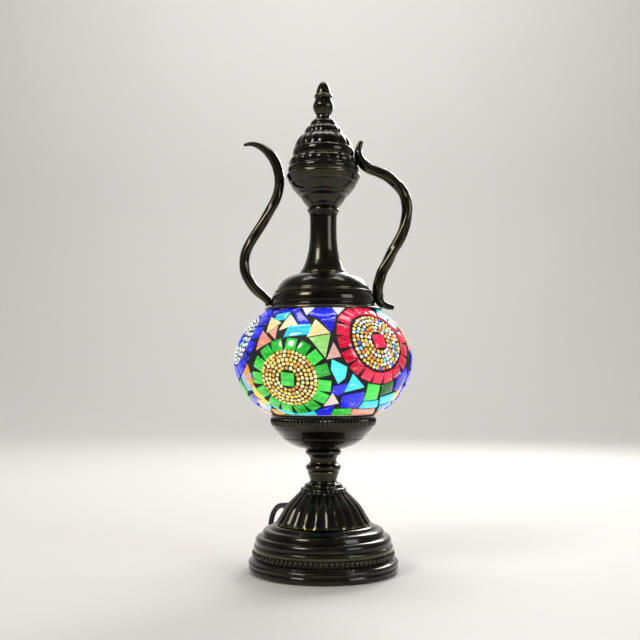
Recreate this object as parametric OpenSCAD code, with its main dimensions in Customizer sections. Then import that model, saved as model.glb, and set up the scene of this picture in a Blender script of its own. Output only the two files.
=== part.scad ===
// Mosaic glass table lamp in the shape of a ewer: a stacked metal base, a glass globe
// covered in mosaic, and a lift-off metal top with a neck, lid, spout and handle.
// Origin: centre of the underside of the felt pad. +Z is up, the handle is on +X.

/* [Base] */
// Widest radius of the foot
foot_r = 66.5; // [56:0.5:80]
// Height from the table to the top of the foot's rings
foot_h = 41; // [34:0.5:50]
// Radius of the foot's top, where the fluted cone stands
foot_top_r = 41.5; // [38:0.5:47]
// Thickness of the cast walls
wall = 2; // [1.5:0.1:2.5]
// Thickness of the felt under the foot
felt_t = 1.5; // [1:0.1:3]
// Thickness of the board that closes the foot
cover_t = 2.5; // [1.5:0.1:4]
// Height of the fluted cone
cone_h = 36.5; // [30:0.5:45]

/* [Stem] */
// Radius of the threaded tube that holds the stack together
tube_r = 5; // [4:0.1:6]
// Radius of the hole along the tube, for the flex
tube_bore_r = 3.6; // [2.8:0.1:3.8]
// Radial room round the tube in the pieces it passes through
tube_gap = 0.2; // [0.1:0.05:0.5]
// Height of the stem between the cone and the bowl
stem_h = 29.5; // [24:0.5:45]
// Radius of the stem's knop
knop_r = 15.8; // [13:0.1:20]

/* [Bowl and globe] */
// Widest radius of the bowl that carries the globe
bowl_r = 47.3; // [44:0.1:52]
// Height of the bowl
bowl_h = 31.4; // [28:0.2:38]
// Radius of the globe over its tiles
globe_r = 80; // [74:0.5:96]
// Half of the globe's height over its tiles, if it weren't cut off
globe_half_h = 59; // [56:0.5:72]
// Height of the globe's middle above the bowl's rim
globe_rise = 46.6; // [45:0.1:50]
// Height of the lift-off top's flange above the globe's middle
flange_rise = 45.2; // [44:0.1:49]
// Thickness of the blown glass
glass_t = 2.5; // [2:0.1:3.5]
// Thickness of the glass tiles
tile_t = 2.1; // [1.5:0.1:3]
// Thickness of the grout bed under the tiles
grout_t = 1.3; // [0.8:0.1:2]
// Side of a rosette's square tile
tile_w = 9.6; // [8:0.1:11]
// Radius of the ring of square tiles of a low rosette, at their middles
rosette_r = 30.4; // [28:0.1:32]
// Number of square tiles round a low rosette
rosette_n = 15; // [13:1:16]
// Radius of the ring of square tiles of a high rosette, at their middles
rosette_big_r = 33.6; // [31:0.1:35]
// Number of square tiles round a high rosette
rosette_big_n = 17; // [15:1:18]

/* [Lift-off top] */
// Radius of the flange that rests over the globe
flange_r = 53; // [50:0.5:58]
// Height of the cap, from the flange to the neck
cap_h = 34.3; // [30:0.1:42]
// Height of the neck
neck_h = 59.5; // [50:0.5:75]
// Radius of the neck at its waist
neck_r = 12.2; // [10:0.1:14]
// Height of the funnel collar on the neck
collar_h = 31; // [26:0.5:38]
// Radius of the funnel collar's rim
collar_r = 33.5; // [30:0.5:38]
// Height of the lid, in its tiers
lid_h = 52.3; // [44:0.1:64]
// Height of the finial
finial_h = 33.2; // [28:0.1:42]
// Radius of the rod through the neck
rod_r = 3; // [2.5:0.1:4]
// Radial room round the rod
rod_gap = 0.2; // [0.1:0.05:0.4]
// Thickness of the spun metal of the top
spun_t = 1.5; // [1:0.1:2]
// Radius of the handle's bar
bar_r = 5.2; // [4:0.1:6]
// Radius of the spout
spout_r = 4.7; // [3.5:0.1:5.5]
// Radius of the screws of the handle and spout
screw_r = 1.5; // [1.25:0.05:2]

/* [Lamp holder and bulb] */
// Radius of the lamp holder's outer shell
holder_r = 14; // [13:0.1:16]
// Height of the lamp holder's shell
holder_h = 33; // [30:0.5:38]
// Radial clearance of the bulb's cap in the holder
bulb_gap = 0.1; // [0.05:0.01:0.1]
// Radius of the bulb's glass
bulb_r = 22.5; // [17:0.5:25]

/* [In-line switch] */
// Length of the in-line switch
switch_l = 54; // [50:1:58]
// Width of the in-line switch
switch_w = 22; // [20:0.5:24]
// Height of the in-line switch's two halves
switch_h = 14.6; // [14:0.1:15]

/* [Hidden] */
$fn = 64;

// Standard sizes: the small screw cap of a bulb, and a round flex with its stored coil
bulb_cap_r = 6.85;
cord_r = 2.5;
coil_r = 29;
coil_h = 15.5;

// Heights of the stack, from the table up
cone_z = foot_h;
stem_z = cone_z + cone_h;
bowl_z = stem_z + stem_h;
rim_z = bowl_z + bowl_h;
globe_z = rim_z + globe_rise;
flange_z = globe_z + flange_rise;
neck_z = flange_z + cap_h;
collar_z = neck_z + neck_h;
lid_z = collar_z + collar_h;
finial_z = lid_z + lid_h;

// Half-widths and half-heights of the globe's layers
skin_gap = 0.05;
grout_r = globe_r - tile_t - skin_gap;
grout_half_h = globe_half_h - tile_t - skin_gap;
// Room between the curved faces of the glass and of the bed on it
bed_gap = 0.2;
glass_r = grout_r - grout_t - bed_gap;
glass_half_h = grout_half_h - grout_t - bed_gap;
rest_gap = 0.3;
tube_hole_r = tube_r + tube_gap;
rod_hole_r = rod_r + rod_gap;
thread_fit = 0.05;
flange_in = 5.5;
plate_t = 2;
nut_t = 5;
nut_r = 8.1;
nipple_end = 10.6;
boss_t = 3.4;

// Outline helpers: a profile runs upwards, with the outside on its right
function lerp(a, b, t) = a + (b - a) * t;
function unit(v) = v / norm(v);
function stretch(pts, kr, kz, z0) = [for (p = pts) [p.x * kr, z0 + p.y * kz]];
function flip(pts) = [for (i = [len(pts) - 1 : -1 : 0]) pts[i]];
// A line from a to b that swells by h to the outside
function swell(a, b, h, n = 6) = let (s = unit([b.y - a.y, a.x - b.x]))
    [for (i = [0 : n]) let (t = i / n) lerp(a, b, t) + s * h * 4 * t * (1 - t)];
// Radius of an oval body of half-width a and half-height b at a height above its middle
function oval_r(a, b, h) = a * sqrt(max(0, 1 - h * h / (b * b)));
function oval(a, b, h0, h1, n = 20) = let (t0 = asin(h0 / b), t1 = asin(h1 / b))
    [for (i = [0 : n]) let (t = lerp(t0, t1, i / n)) [a * cos(t), b * sin(t)]];

// A rod of nut shape, with its bore
module hex_nut(r, bore, t) {
    difference() {
        cylinder(h = t, r = r, $fn = 6);
        translate([0, 0, -1]) cylinder(h = t + 2, r = bore);
    }
}

module ring(r_out, r_in, h) {
    difference() {
        cylinder(h = h, r = r_out);
        translate([0, 0, -1]) cylinder(h = h + 2, r = r_in);
    }
}

// ---- Base ----

foot_kr = foot_r / 66.5;
foot_kz = foot_h / 41;
foot_lip = stretch(concat(
    swell([64.6, 0], [65.4, 6.2], 1.2), swell([65.6, 6.6], [65, 10.8], 1),
    [[63.2, 11.9], [62, 13.4]], swell([62, 13.6], [62, 18.8], 1.6),
    [[61.7, 19.2], [61.5, 23.4], [60.4, 24.2]], swell([60.3, 25.8], [55.2, 32.2], 1.7),
    swell([54.6, 32.7], [48.2, 38], 1.7), [[47.4, 38.3]]), foot_kr, foot_kz, 0);
foot_crown = swell([foot_top_r + 5.4, foot_h - 2.5], [foot_top_r, foot_h], 0.9);
foot_hollow_r = foot_r - 5.7;
foot_inside = concat([[foot_top_r - flange_in, foot_h - wall], [foot_top_r - 1, foot_h - wall]],
    [[foot_top_r + 3.6, foot_h - wall - 3]],
    stretch([[51.8, 31], [57, 25], [58.6, 20], [59.6, 12]], foot_kr, foot_kz, 0),
    [[foot_hollow_r - wall / 2, felt_t + cover_t + 2], [foot_hollow_r - wall / 2, felt_t + cover_t],
    [foot_hollow_r, felt_t + cover_t]]);

module felt_pad() {
    color([0.08, 0.16, 0.1]) cylinder(h = felt_t, r = foot_r - 3.5);
}

module base_cover() {
    color([0.35, 0.27, 0.18]) translate([0, 0, felt_t]) cylinder(h = cover_t, r = foot_hollow_r - 0.2);
}

module foot() {
    color([0.2, 0.17, 0.09]) difference() {
        rotate_extrude()
            polygon(concat(foot_lip, foot_crown, [[foot_top_r - flange_in, foot_h]],
                foot_inside, [[foot_hollow_r, 0]]));
        translate([0, 0, -1]) cylinder(h = felt_t + 1, r = foot_r - 3.5);
    }
}

// Height of the clamp plate's top, hard under the foot's flange
clamp_z = foot_h - wall;
flex_side = [-0.6, 0.8];

module clamp_plate() {
    color([0.6, 0.6, 0.58]) translate([0, 0, clamp_z - plate_t]) difference() {
        ring(foot_top_r - 2.3, tube_hole_r, plate_t);
        translate([flex_side.x * 20, flex_side.y * 20, -1]) cylinder(h = plate_t + 2, r = 5);
    }
}

module base_nut() {
    color([0.7, 0.6, 0.35]) translate([0, 0, clamp_z - plate_t - nut_t])
        hex_nut(nut_r, tube_r + thread_fit, nut_t);
}

cone_r = foot_top_r + 0.4;
cone_kr = cone_r / 41.9;
cone_kz = cone_h / 36.5;
relief_z = cone_z + 9;
relief_in_r = 4;
relief_seat_r = 30;

module fluted_cone() {
    outside = stretch(concat(
        [[41.9, 0], [41.4, 2.9], [39.6, 5.6], [37.8, 8.3], [36.5, 11], [34.9, 13.7], [32.9, 16.4]],
        [[30.6, 19.1], [27.9, 21.8], [25.2, 24.5], [22.5, 27.2], [21, 29]],
        swell([20.4, 29.2], [17.6, 32.4], 0.9, 4), swell([17, 32.8], [13.4, 36.2], 0.9, 4)),
        cone_kr, cone_kz, cone_z);
    inside = concat([[cone_r - wall * 1.2, 0]],
        [for (p = [[41.4, 2.9], [37.8, 8.3], [34.9, 13.7], [30.6, 19.1], [25.2, 24.5]])
            [p.x * cone_kr - wall, p.y * cone_kz]],
        [[18 * cone_kr - wall, (cone_h - 7.5)]], [[tube_hole_r, cone_h - 5.5]]);
    color([0.2, 0.17, 0.09]) difference() {
        rotate_extrude()
            polygon(concat(outside, [[13, stem_z], [tube_hole_r, stem_z]],
                [for (p = flip(inside)) [p.x, p.y + cone_z]]));
        translate([0, 0, relief_z]) along(flex_side) translate([0, 0, relief_seat_r - 6])
            cylinder(h = 20, r = relief_in_r);
    }
}

// Turns a thing that stands up so that it points level, along a side
module along(side) {
    rotate([0, 0, atan2(side.y, side.x)]) rotate([0, 90, 0]) children();
}

// ---- Stem ----

tube_low_z = clamp_z - plate_t - nut_t - 3;
tube_top_z = bowl_z + boss_t + nipple_end;

module stem_tube() {
    color([0.72, 0.66, 0.4]) translate([0, 0, tube_low_z])
        ring(tube_r, tube_bore_r, tube_top_z - tube_low_z);
}

stem_kz = stem_h / 29.5;
knop_k = knop_r / 15.8;

// A turned piece threaded on the tube
module turned(outline, kr, z0, z1) {
    color([0.22, 0.18, 0.1]) rotate_extrude()
        polygon(concat([[tube_hole_r, z0]], [for (p = outline) [p.x * kr, stem_z + p.y * stem_kz]],
            [[tube_hole_r, z1]]));
}

module stem_lower() {
    turned(concat([[13, 0], [12.4, 0.7], [11.3, 1.5], [12.2, 3], [13, 5.2]],
        swell([13.4, 5.8], [13.4, 8.6], 0.7), [[12.2, 9.1], [12, 9.8]]),
        knop_k, stem_z, stem_z + 9.8 * stem_kz);
}

module stem_knop() {
    turned(concat([[12, 9.8]], swell([12.6, 10.2], [12.6, 17.6], 3.2, 8), [[12, 18]]),
        knop_k, stem_z + 9.8 * stem_kz, stem_z + 18 * stem_kz);
}

module stem_upper() {
    turned(concat([[12, 18]], swell([12.3, 18.2], [12.3, 20], 0.6, 4),
        [[12.2, 20.6], [12.6, 22.6], [14.6, 24.4]],
        swell([15.2, 24.6], [15.2, 28.8], 0.9, 4), [[14.4, 29.5]]), knop_k, stem_z + 18 * stem_kz, bowl_z);
}

// ---- Bowl ----

bowl_kr = bowl_r / 47.3;
bowl_kz = bowl_h / 31.4;
mouth_r = 45.7 * bowl_kr - wall;

module globe_bowl() {
    outside = stretch(concat([[14, 0], [22, 1.7], [28.4, 4.4], [32.9, 7.1], [36.4, 9.8], [36.5, 10.5]],
        [[37.6, 11.1], [41.4, 15.2], [44.1, 17.9], [45.7, 20.6], [46.9, 23.3], [47.3, 26], [46.6, 28.5]],
        swell([45.8, 29], [45.7, 31.4], 0.5, 4)), bowl_kr, bowl_kz, bowl_z);
    floor_r = tube_r + 11;
    inside = [[mouth_r, rim_z], [mouth_r, rim_z - 6.8], [42.6 * bowl_kr - 0.4, rim_z - 9.6],
        [37.6 * bowl_kr, rim_z - 14.6], [31 * bowl_kr, rim_z - 20.8],
        [floor_r, bowl_z + boss_t], [tube_hole_r, bowl_z + boss_t], [tube_hole_r, bowl_z]];
    color([0.2, 0.17, 0.09]) rotate_extrude() polygon(concat(outside, inside));
}

washer_t = 1.2;

module bowl_washer() {
    color([0.7, 0.7, 0.68]) translate([0, 0, bowl_z + boss_t]) ring(10, tube_hole_r, washer_t);
}

module bowl_nut() {
    color([0.7, 0.6, 0.35]) translate([0, 0, bowl_z + boss_t + washer_t])
        hex_nut(nut_r, tube_r + thread_fit, nut_t);
}

// ---- Lamp holder ----

holder_z = bowl_z + boss_t + washer_t + nut_t;
shell_z = holder_z + 10;
holder_top_z = shell_z + holder_h;
cup_r = bulb_cap_r + bulb_gap;
cup_t = 0.4;
cap_len = 22;
bulb_low_z = holder_top_z - 21;

module holder_cap() {
    color([0.07, 0.07, 0.07]) rotate_extrude()
        polygon([[tube_r + thread_fit, holder_z], [holder_r - 4, holder_z], [holder_r, holder_z + 4],
            [holder_r, shell_z], [holder_r - 1.8, shell_z], [holder_r - 1.8, holder_z + 5.4],
            [holder_r - 5, holder_z + 3.4], [tube_r + thread_fit, holder_z + 3.4]]);
}

module holder_shell() {
    color([0.07, 0.07, 0.07]) translate([0, 0, shell_z]) difference() {
        union() {
            cylinder(h = holder_h, r = holder_r);
            for (i = [0 : 2])
                translate([0, 0, holder_h - 4 - 4 * i]) cylinder(h = 1.6, r = holder_r + 0.8);
        }
        translate([0, 0, -1]) cylinder(h = holder_h + 2, r = holder_r - 1.8);
    }
}

module holder_insert() {
    insert_h = holder_h - 3;
    color([0.92, 0.9, 0.84]) translate([0, 0, shell_z]) difference() {
        cylinder(h = insert_h, r = holder_r - 2);
        translate([0, 0, bulb_low_z - shell_z - 3.2]) cylinder(h = insert_h, r = cup_r + cup_t);
    }
}

module holder_screw_shell() {
    color([0.8, 0.66, 0.36]) translate([0, 0, bulb_low_z - 1]) ring(cup_r + cup_t, cup_r, 17);
}

module holder_contact() {
    color([0.8, 0.66, 0.36]) translate([-2.5, -1.5, bulb_low_z - 3.2]) cube([5, 3, 0.6]);
}

module terminal_screws() {
    color([0.8, 0.7, 0.4]) for (s = [-1, 1])
        translate([6 * s, 0, shell_z - 3.4]) {
            cylinder(h = 3.4, r = 1.2);
            translate([0, 0, -1.6]) cylinder(h = 1.6, r = 2.4);
        }
}

// The two-wire flex inside: in through the cone, down past the clamp plate, up the tube
inner_route = [[-19.8, 26.4, relief_z], [-16, 21.5, relief_z - 2], [-13.2, 17.6, relief_z - 7],
    [-12, 16, clamp_z - 1], [-11.4, 15, clamp_z - 10], [-9, 12, clamp_z - 18], [-5, 6.6, clamp_z - 22],
    [-1.2, 1.6, clamp_z - 20], [0, 0, clamp_z - 14], [0, 0, tube_top_z], [0, 0, tube_top_z + 1.5]];

module inner_flex() {
    color([0.85, 0.85, 0.8]) sweep(inner_route, [for (p = inner_route) 1.8], 8);
}

// ---- Bulb ----

bulb_neck_r = 8;
bulb_mid_z = bulb_low_z + cap_len + 34.5;

module bulb_glass() {
    skin = 0.8;
    neck_z0 = bulb_low_z + cap_len;
    neck_in_r = bulb_neck_r - skin;
    outside = ball_half(bulb_r, -acos(bulb_neck_r / bulb_r), 90);
    inside = ball_half(bulb_r - skin, 90, -acos(neck_in_r / (bulb_r - skin)));
    color([1, 0.97, 0.9]) rotate_extrude()
        polygon(concat([[neck_in_r, neck_z0], [bulb_neck_r - 0.4, neck_z0], [bulb_neck_r, neck_z0 + 3]],
            outside, inside));
}

function ball_half(r, t0, t1, n = 16) = [for (i = [0 : n]) let (t = lerp(t0, t1, i / n))
    [r * cos(t), bulb_mid_z + r * sin(t)]];

module bulb_cap() {
    color([0.8, 0.8, 0.8]) union() {
        translate([0, 0, bulb_low_z]) ring(bulb_cap_r, bulb_cap_r - 0.5, cap_len - 3);
        translate([0, 0, bulb_low_z + cap_len - 3]) ring(bulb_neck_r - 0.9, bulb_cap_r - 0.5, 3);
        translate([0, 0, bulb_low_z]) ring(bulb_cap_r - 0.4, 3, 1);
    }
}

module bulb_contact() {
    color([0.25, 0.25, 0.28]) translate([0, 0, bulb_low_z - 1]) {
        translate([0, 0, 1]) cylinder(h = 2, r = 3);
        cylinder(h = 1, r1 = 2, r2 = 3);
        translate([0, 0, -0.8]) cylinder(h = 0.8, r = 2);
    }
}

module bulb_filament() {
    foot_of_mount = bulb_low_z + 3;
    mount_h = cap_len + 14;
    color([0.9, 0.8, 0.6]) {
        translate([0, 0, foot_of_mount]) cylinder(h = mount_h, r1 = 4, r2 = 1.6);
        translate([0, 0, bulb_low_z + cap_len + 0.5]) cylinder(h = 1.5, r = bulb_neck_r - 1);
        for (s = [-1, 1]) hull() {
            translate([s * 0.9, 0, foot_of_mount + mount_h - 1]) sphere(r = 0.45, $fn = 8);
            translate([s * 9, 0, bulb_mid_z + 4]) sphere(r = 0.45, $fn = 8);
        }
        translate([0, 0, bulb_mid_z + 4]) rotate([0, 90, 0]) translate([0, 0, -9]) cylinder(h = 18, r = 0.5);
    }
}

// ---- Globe ----

glass_low = -(globe_rise + 4.4);
glass_high = flange_rise + 0.6;

module oval_shell(a, b, a_in, b_in, h0, h1) {
    translate([0, 0, globe_z]) rotate_extrude()
        polygon(concat(oval(a, b, h0, h1), flip(oval(a_in, b_in, h0, h1))));
}

module globe_glass() {
    color([0.85, 0.9, 0.92]) oval_shell(glass_r, glass_half_h, glass_r - glass_t,
        glass_half_h - glass_t, glass_low, glass_high);
}

bed_low_z = rim_z - 6.6;

module globe_bedding() {
    color([0.85, 0.82, 0.76]) difference() {
        translate([0, 0, bed_low_z]) ring(mouth_r - 0.1, 31, rim_z - 1 - bed_low_z);
        translate([0, 0, bed_low_z - 9]) cylinder(h = 10, r1 = 60, r2 = 36);
        translate([0, 0, globe_z]) rotate_extrude()
            polygon(concat([[0, -glass_half_h]], oval(glass_r + 0.1, glass_half_h + 0.1, -glass_half_h, 0, 24),
                [[0, 0]]));
    }
}

module grout_bed() {
    color([0.05, 0.05, 0.05]) oval_shell(grout_r, grout_half_h, grout_r - grout_t,
        grout_half_h - grout_t, -(globe_rise - 0.4), flange_rise - rest_gap);
}

// Room between a field of beads and its ring of squares
bead_gap = 0.5;
// Centres of the rosettes: side that each faces, height above the globe's middle, colour
rosette_high = 19;
rosette_low = -14;
rosettes = [[-113, rosette_low, 0], [-52, rosette_high, 1], [8, rosette_low, 2],
    [68, rosette_high, 0], [128, rosette_low, 1], [-172, rosette_high, 2]];
function ring_r(rosette) = rosette[1] > 0 ? rosette_big_r : rosette_r;
function ring_n(rosette) = rosette[1] > 0 ? rosette_big_n : rosette_n;

// A point of the grout's face, and the way out from it
function on_oval(v) = let (w = unit([v.x / grout_r, v.y / grout_r, v.z / grout_half_h]))
    [w.x * grout_r, w.y * grout_r, w.z * grout_half_h];
function way_out(p) = unit([p.x / pow(grout_r, 2), p.y / pow(grout_r, 2), p.z / pow(grout_half_h, 2)]);
function spot(side, h) = let (r = oval_r(grout_r, grout_half_h, h)) [r * cos(side), r * sin(side), h];

// Distance from a rosette's axis to the nearest inner edge of its squares
function tile_reach(r) = let (c = spot(r[0], r[1]), n = way_out(c), e = unit(cross([0, 0, 1], n)),
    f = cross(n, e), count = ring_n(r))
    min([for (i = [0 : count - 1]) let (a = (i + 0.5) * 360 / count,
        p = on_oval(c + (e * cos(a) + f * sin(a)) * ring_r(r)), m = way_out(p),
        x = unit(cross(cross(m, p - c), m))) norm(cross(p - x * tile_w / 2 - c, n))]);

// Stands a flat thing on the grout at p, with its X along the line away from a point
module tile_at(p, away_from) {
    n = way_out(p);
    x = unit(cross(cross(n, p - away_from), n));
    y = cross(n, x);
    q = p + n * skin_gap;
    multmatrix([[x.x, y.x, n.x, q.x], [x.y, y.y, n.y, q.y], [x.z, y.z, n.z, q.z + globe_z], [0, 0, 0, 1]])
        children();
}

// Ring of square tiles and the middle tile of each rosette of one colour
module squares(kind) {
    inset = 0.3;
    for (r = rosettes) if (r[2] == kind) {
        c = spot(r[0], r[1]);
        n = way_out(c);
        e = unit(cross([0, 0, 1], n));
        f = cross(n, e);
        tile_at(c, c - f) translate([-tile_w / 2, -tile_w / 2, 0]) cube([tile_w, tile_w, tile_t]);
        count = ring_n(r);
        for (i = [0 : count - 1]) {
            a = (i + 0.5) * 360 / count;
            p = on_oval(c + (e * cos(a) + f * sin(a)) * ring_r(r));
            if (p.z < flange_rise - tile_w && p.z > tile_w - globe_rise)
                tile_at(p, c) translate([-tile_w / 2 + inset, -tile_w / 2 + inset, 0])
                    cube([tile_w - 2 * inset, tile_w - 2 * inset, tile_t]);
        }
    }
}

// The field of glass beads inside a rosette's ring, as one closed cap of the bed
module bead_field(kind) {
    hole_r = tile_w * 0.71 + 0.6;
    intersection() {
        oval_shell(globe_r - 1, globe_half_h - 1, grout_r + skin_gap, grout_half_h + skin_gap,
            -globe_rise + 2, flange_rise - 1);
        union() for (r = rosettes) if (r[2] == kind) {
            c = spot(r[0], r[1]);
            tile_at(c, [0, 0, -200]) translate([0, 0, -20])
                ring(tile_reach(r) - bead_gap, hole_r, 40);
        }
    }
}

module squares_green() {
    color([0.15, 0.75, 0.25]) squares(0);
}

module squares_red() {
    color([0.8, 0.05, 0.1]) squares(1);
}

module squares_blue() {
    color([0.1, 0.15, 0.8]) squares(2);
}

module beads_gold() {
    color([1, 0.85, 0.35]) bead_field(0);
}

module beads_mixed() {
    color([0.95, 0.7, 0.3]) bead_field(1);
}

module beads_clear() {
    color([0.9, 0.95, 1]) bead_field(2);
}

// Three-cornered glass that fills the gaps between the rosettes
module fillers(heights, side, shift) {
    for (r = rosettes) for (h = heights) {
        s = r[1] > 0 ? 1 : -1;
        p = spot(r[0] + shift, -s * h);
        tile_at(p, [0, 0, s * 200]) linear_extrude(height = tile_t * 0.8)
            polygon([[-side * 0.5, -side * 0.55], [-side * 0.5, side * 0.55], [side * 0.5, 0]]);
    }
}

module filler_tiles() {
    color([0.08, 0.1, 0.75]) fillers([31], 12, 0);
    color([0.95, 0.85, 0.7]) {
        fillers([34], 8, 11);
        fillers([34], 8, -11);
    }
}

// The rows of short tiles next to the bowl and under the flange
module edge_tiles() {
    color([0.3, 0.75, 0.85]) {
        for (i = [0 : 25]) tile_at(spot(i * 360 / 26, -globe_rise + 3.4), [0, 0, 200])
            translate([-2, -4.4, 0]) cube([4, 8.8, tile_t * 0.8]);
        for (i = [0 : 27]) tile_at(spot(i * 360 / 28, flange_rise - 3.2), [0, 0, -200])
            translate([-2, -4.4, 0]) cube([3.4, 8.8, tile_t * 0.6]);
    }
}

// ---- Lift-off top ----

cap_kz = cap_h / 34.3;
cap_kr = flange_r / 53;
band_top = 18.6 * cap_kz;
band_in_r = 46 * cap_kr - spun_t - 1.5;

module cap_band() {
    outside = stretch(concat(swell([49, 0], [53, 1.2], 0, 1), [[53, 1.8], [52, 3], [47, 4], [46, 5.2]],
        swell([46, 6], [44.6, 15.5], 0.9), swell([43.6, 16.2], [42.6, 18.6], 0.7, 4)),
        cap_kr, cap_kz, flange_z);
    seat = flange_z + band_top - spun_t;
    color([0.2, 0.17, 0.09]) difference() {
        rotate_extrude()
            polygon(concat(outside, [[band_in_r - 5, flange_z + band_top], [band_in_r - 5, seat],
                [band_in_r - 1, seat], [band_in_r, seat - 2.5],
                [band_in_r, flange_z + 2.4], [49 * cap_kr - 2, flange_z + 1.2], [49 * cap_kr - 2, flange_z]]));
        for (s = [-1, 1]) rim_hole(s);
    }
}

rim_screw_z = flange_z + 10;
rim_screw_in = 36;

// Drill for the screw of the handle (s = 1) or of the spout (s = -1)
module rim_hole(s) {
    translate([0, 0, rim_screw_z]) along([s, 0]) translate([0, 0, rim_screw_in])
        cylinder(h = 15, r = screw_r + 0.1);
}

module cap_dome() {
    outside = stretch(concat([[42, 18.6], [42, 19.2]], swell([41.8, 19.8], [23.4, 33], 3.2, 10),
        [[22, 34.3]]), cap_kr, cap_kz, flange_z);
    color([0.2, 0.17, 0.09]) rotate_extrude()
        polygon(concat(outside, [[rod_hole_r, neck_z], [rod_hole_r, neck_z - spun_t * 1.6],
            [19.5 * cap_kr, neck_z - spun_t * 1.6], [26 * cap_kr, flange_z + 31 * cap_kz],
            [33.6 * cap_kr, flange_z + 26.4 * cap_kz], [38.5 * cap_kr, flange_z + 20.8 * cap_kz],
            [38.5 * cap_kr, flange_z + band_top]]));
}

// The glass mouth that the springs of the top go into
mouth_in_r = oval_r(glass_r - glass_t, glass_half_h - glass_t, glass_high);
clip_t = 0.6;
clip_out_r = mouth_in_r - 0.4;
clip_drop = 8;

module cap_clips() {
    seat = flange_z + band_top - spun_t;
    leaf = band_in_r - 1.4 - clip_out_r + clip_t;
    color([0.75, 0.72, 0.6]) for (i = [0 : 2]) rotate([0, 0, 30 + 120 * i]) {
        translate([clip_out_r - clip_t, -4, flange_z - clip_drop])
            cube([clip_t, 8, seat - flange_z + clip_drop]);
        translate([clip_out_r - clip_t, -4, seat - clip_t]) cube([leaf, 8, clip_t]);
    }
}

module clip_rivets() {
    seat = flange_z + band_top - spun_t;
    color([0.75, 0.72, 0.6]) for (i = [0 : 2]) rotate([0, 0, 30 + 120 * i])
        translate([clip_out_r + 2.3, 0, seat - clip_t - 1.2]) cylinder(h = 1.2, r = 2);
}

neck_kr = neck_r / 12.2;
neck_kz = neck_h / 59.5;

module neck() {
    outside = stretch(concat([[21, 0], [20.4, 1.6], [18.6, 4.6]], swell([17.9, 6], [17, 9.4], 0.4, 4),
        [[16.6, 10], [14.6, 15.4], [13.4, 21], [12.6, 26], [12.2, 32], [12.2, 52], [12.8, 54.4]],
        swell([13.4, 55], [13.4, 59.2], 0.9, 4), [[13, 59.5]]), neck_kr, neck_kz, neck_z);
    color([0.22, 0.18, 0.1]) rotate_extrude()
        polygon(concat(outside, [[rod_hole_r, collar_z], [rod_hole_r, collar_z - 5],
            [neck_r - wall - 1, collar_z - 6], [neck_r - wall - 1, neck_z + 24 * neck_kz],
            [neck_r + 1.4, neck_z + 4], [neck_r + 1.4, neck_z]]));
}

collar_kr = collar_r / 33.5;
collar_kz = collar_h / 31;

module funnel_collar() {
    outside = stretch(concat([[13.6, 0], [15.2, 1.2]], swell([16.6, 2.6], [20.4, 9.6], 0.8),
        swell([21, 10.2], [23.4, 13], 0.6, 4), [[24, 14]], swell([25, 15.4], [29.4, 21.4], 0.6),
        [[30, 22.6]], swell([31.4, 25], [33, 27.6], 0.8, 4), [[33.5, 28.4], [33.5, 31]]),
        collar_kr, collar_kz, collar_z);
    inside = [[collar_r - 3, lid_z], [collar_r - 3, lid_z - 2.5], [collar_r - 7.5, lid_z - 10],
        [collar_r * 0.58, lid_z - 16], [13, collar_z + 5], [rod_hole_r, collar_z + 4], [rod_hole_r, collar_z]];
    color([0.2, 0.17, 0.09]) rotate_extrude() polygon(concat(outside, inside));
}

lid_kr = collar_kr;
lid_kz = lid_h / 52.3;
drum_top = 15.2 * lid_kz;

module lid_drum() {
    outside = stretch(concat([[collar_r / lid_kr - 1.2, 0]], swell([31.8, 0.8], [31.2, 6.6], 0.5, 4),
        swell([30.9, 7.2], [28.4, 14.6], 1.1), [[27.6, 15.2]]), lid_kr, lid_kz, lid_z);
    color([0.2, 0.17, 0.09]) rotate_extrude()
        polygon(concat(outside, [[rod_hole_r, lid_z + drum_top], [rod_hole_r, lid_z + drum_top - spun_t],
            [25.6 * lid_kr, lid_z + drum_top - spun_t], [29 * lid_kr, lid_z + 6 * lid_kz],
            [29.4 * lid_kr, lid_z]]));
}

module lid_dome() {
    outside = stretch(concat([[27.4, 15.2], [27.6, 16]], swell([27.7, 16.6], [27.2, 22.4], 0.4, 4),
        swell([26.6, 24], [18.4, 35.6], 1.6), swell([17.6, 36.2], [13.4, 43.4], 0.9),
        swell([12.4, 44], [8.2, 50], 0.8, 4), [[6.8, 50.8], [6.6, 52.3]]), lid_kr, lid_kz, lid_z);
    color([0.2, 0.17, 0.09]) rotate_extrude()
        polygon(concat(outside, [[rod_hole_r, finial_z], [rod_hole_r, finial_z - 8],
            [10 * lid_kr, lid_z + 42 * lid_kz], [14.6 * lid_kr, lid_z + 36 * lid_kz],
            [22.6 * lid_kr, lid_z + 25 * lid_kz], [25.2 * lid_kr, lid_z + 22 * lid_kz],
            [25.4 * lid_kr, lid_z + drum_top]]));
}

finial_kz = finial_h / 33.2;
rod_in_finial = 14;

module finial() {
    outside = stretch(concat([[6.4, 0], [6.4, 2.6]], swell([6.8, 3], [8.2, 10.6], 2, 8),
        [[7.6, 14], [7, 17]], swell([7.4, 17.8], [7.2, 20.8], 1.2, 4), [[5.2, 22.4]],
        swell([6.4, 22.8], [2.2, 32], 1, 8), [[0, 33.2]]), 1, finial_kz, finial_z);
    color([0.22, 0.18, 0.1]) rotate_extrude()
        polygon(concat(outside, [[0, finial_z + rod_in_finial], [rod_r + thread_fit, finial_z + rod_in_finial],
            [rod_r + thread_fit, finial_z]]));
}

rod_low_z = neck_z - spun_t * 1.6 - 6;

module top_rod() {
    color([0.72, 0.7, 0.66]) translate([0, 0, rod_low_z])
        cylinder(h = finial_z + rod_in_finial - 0.5 - rod_low_z, r = rod_r);
}

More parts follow.
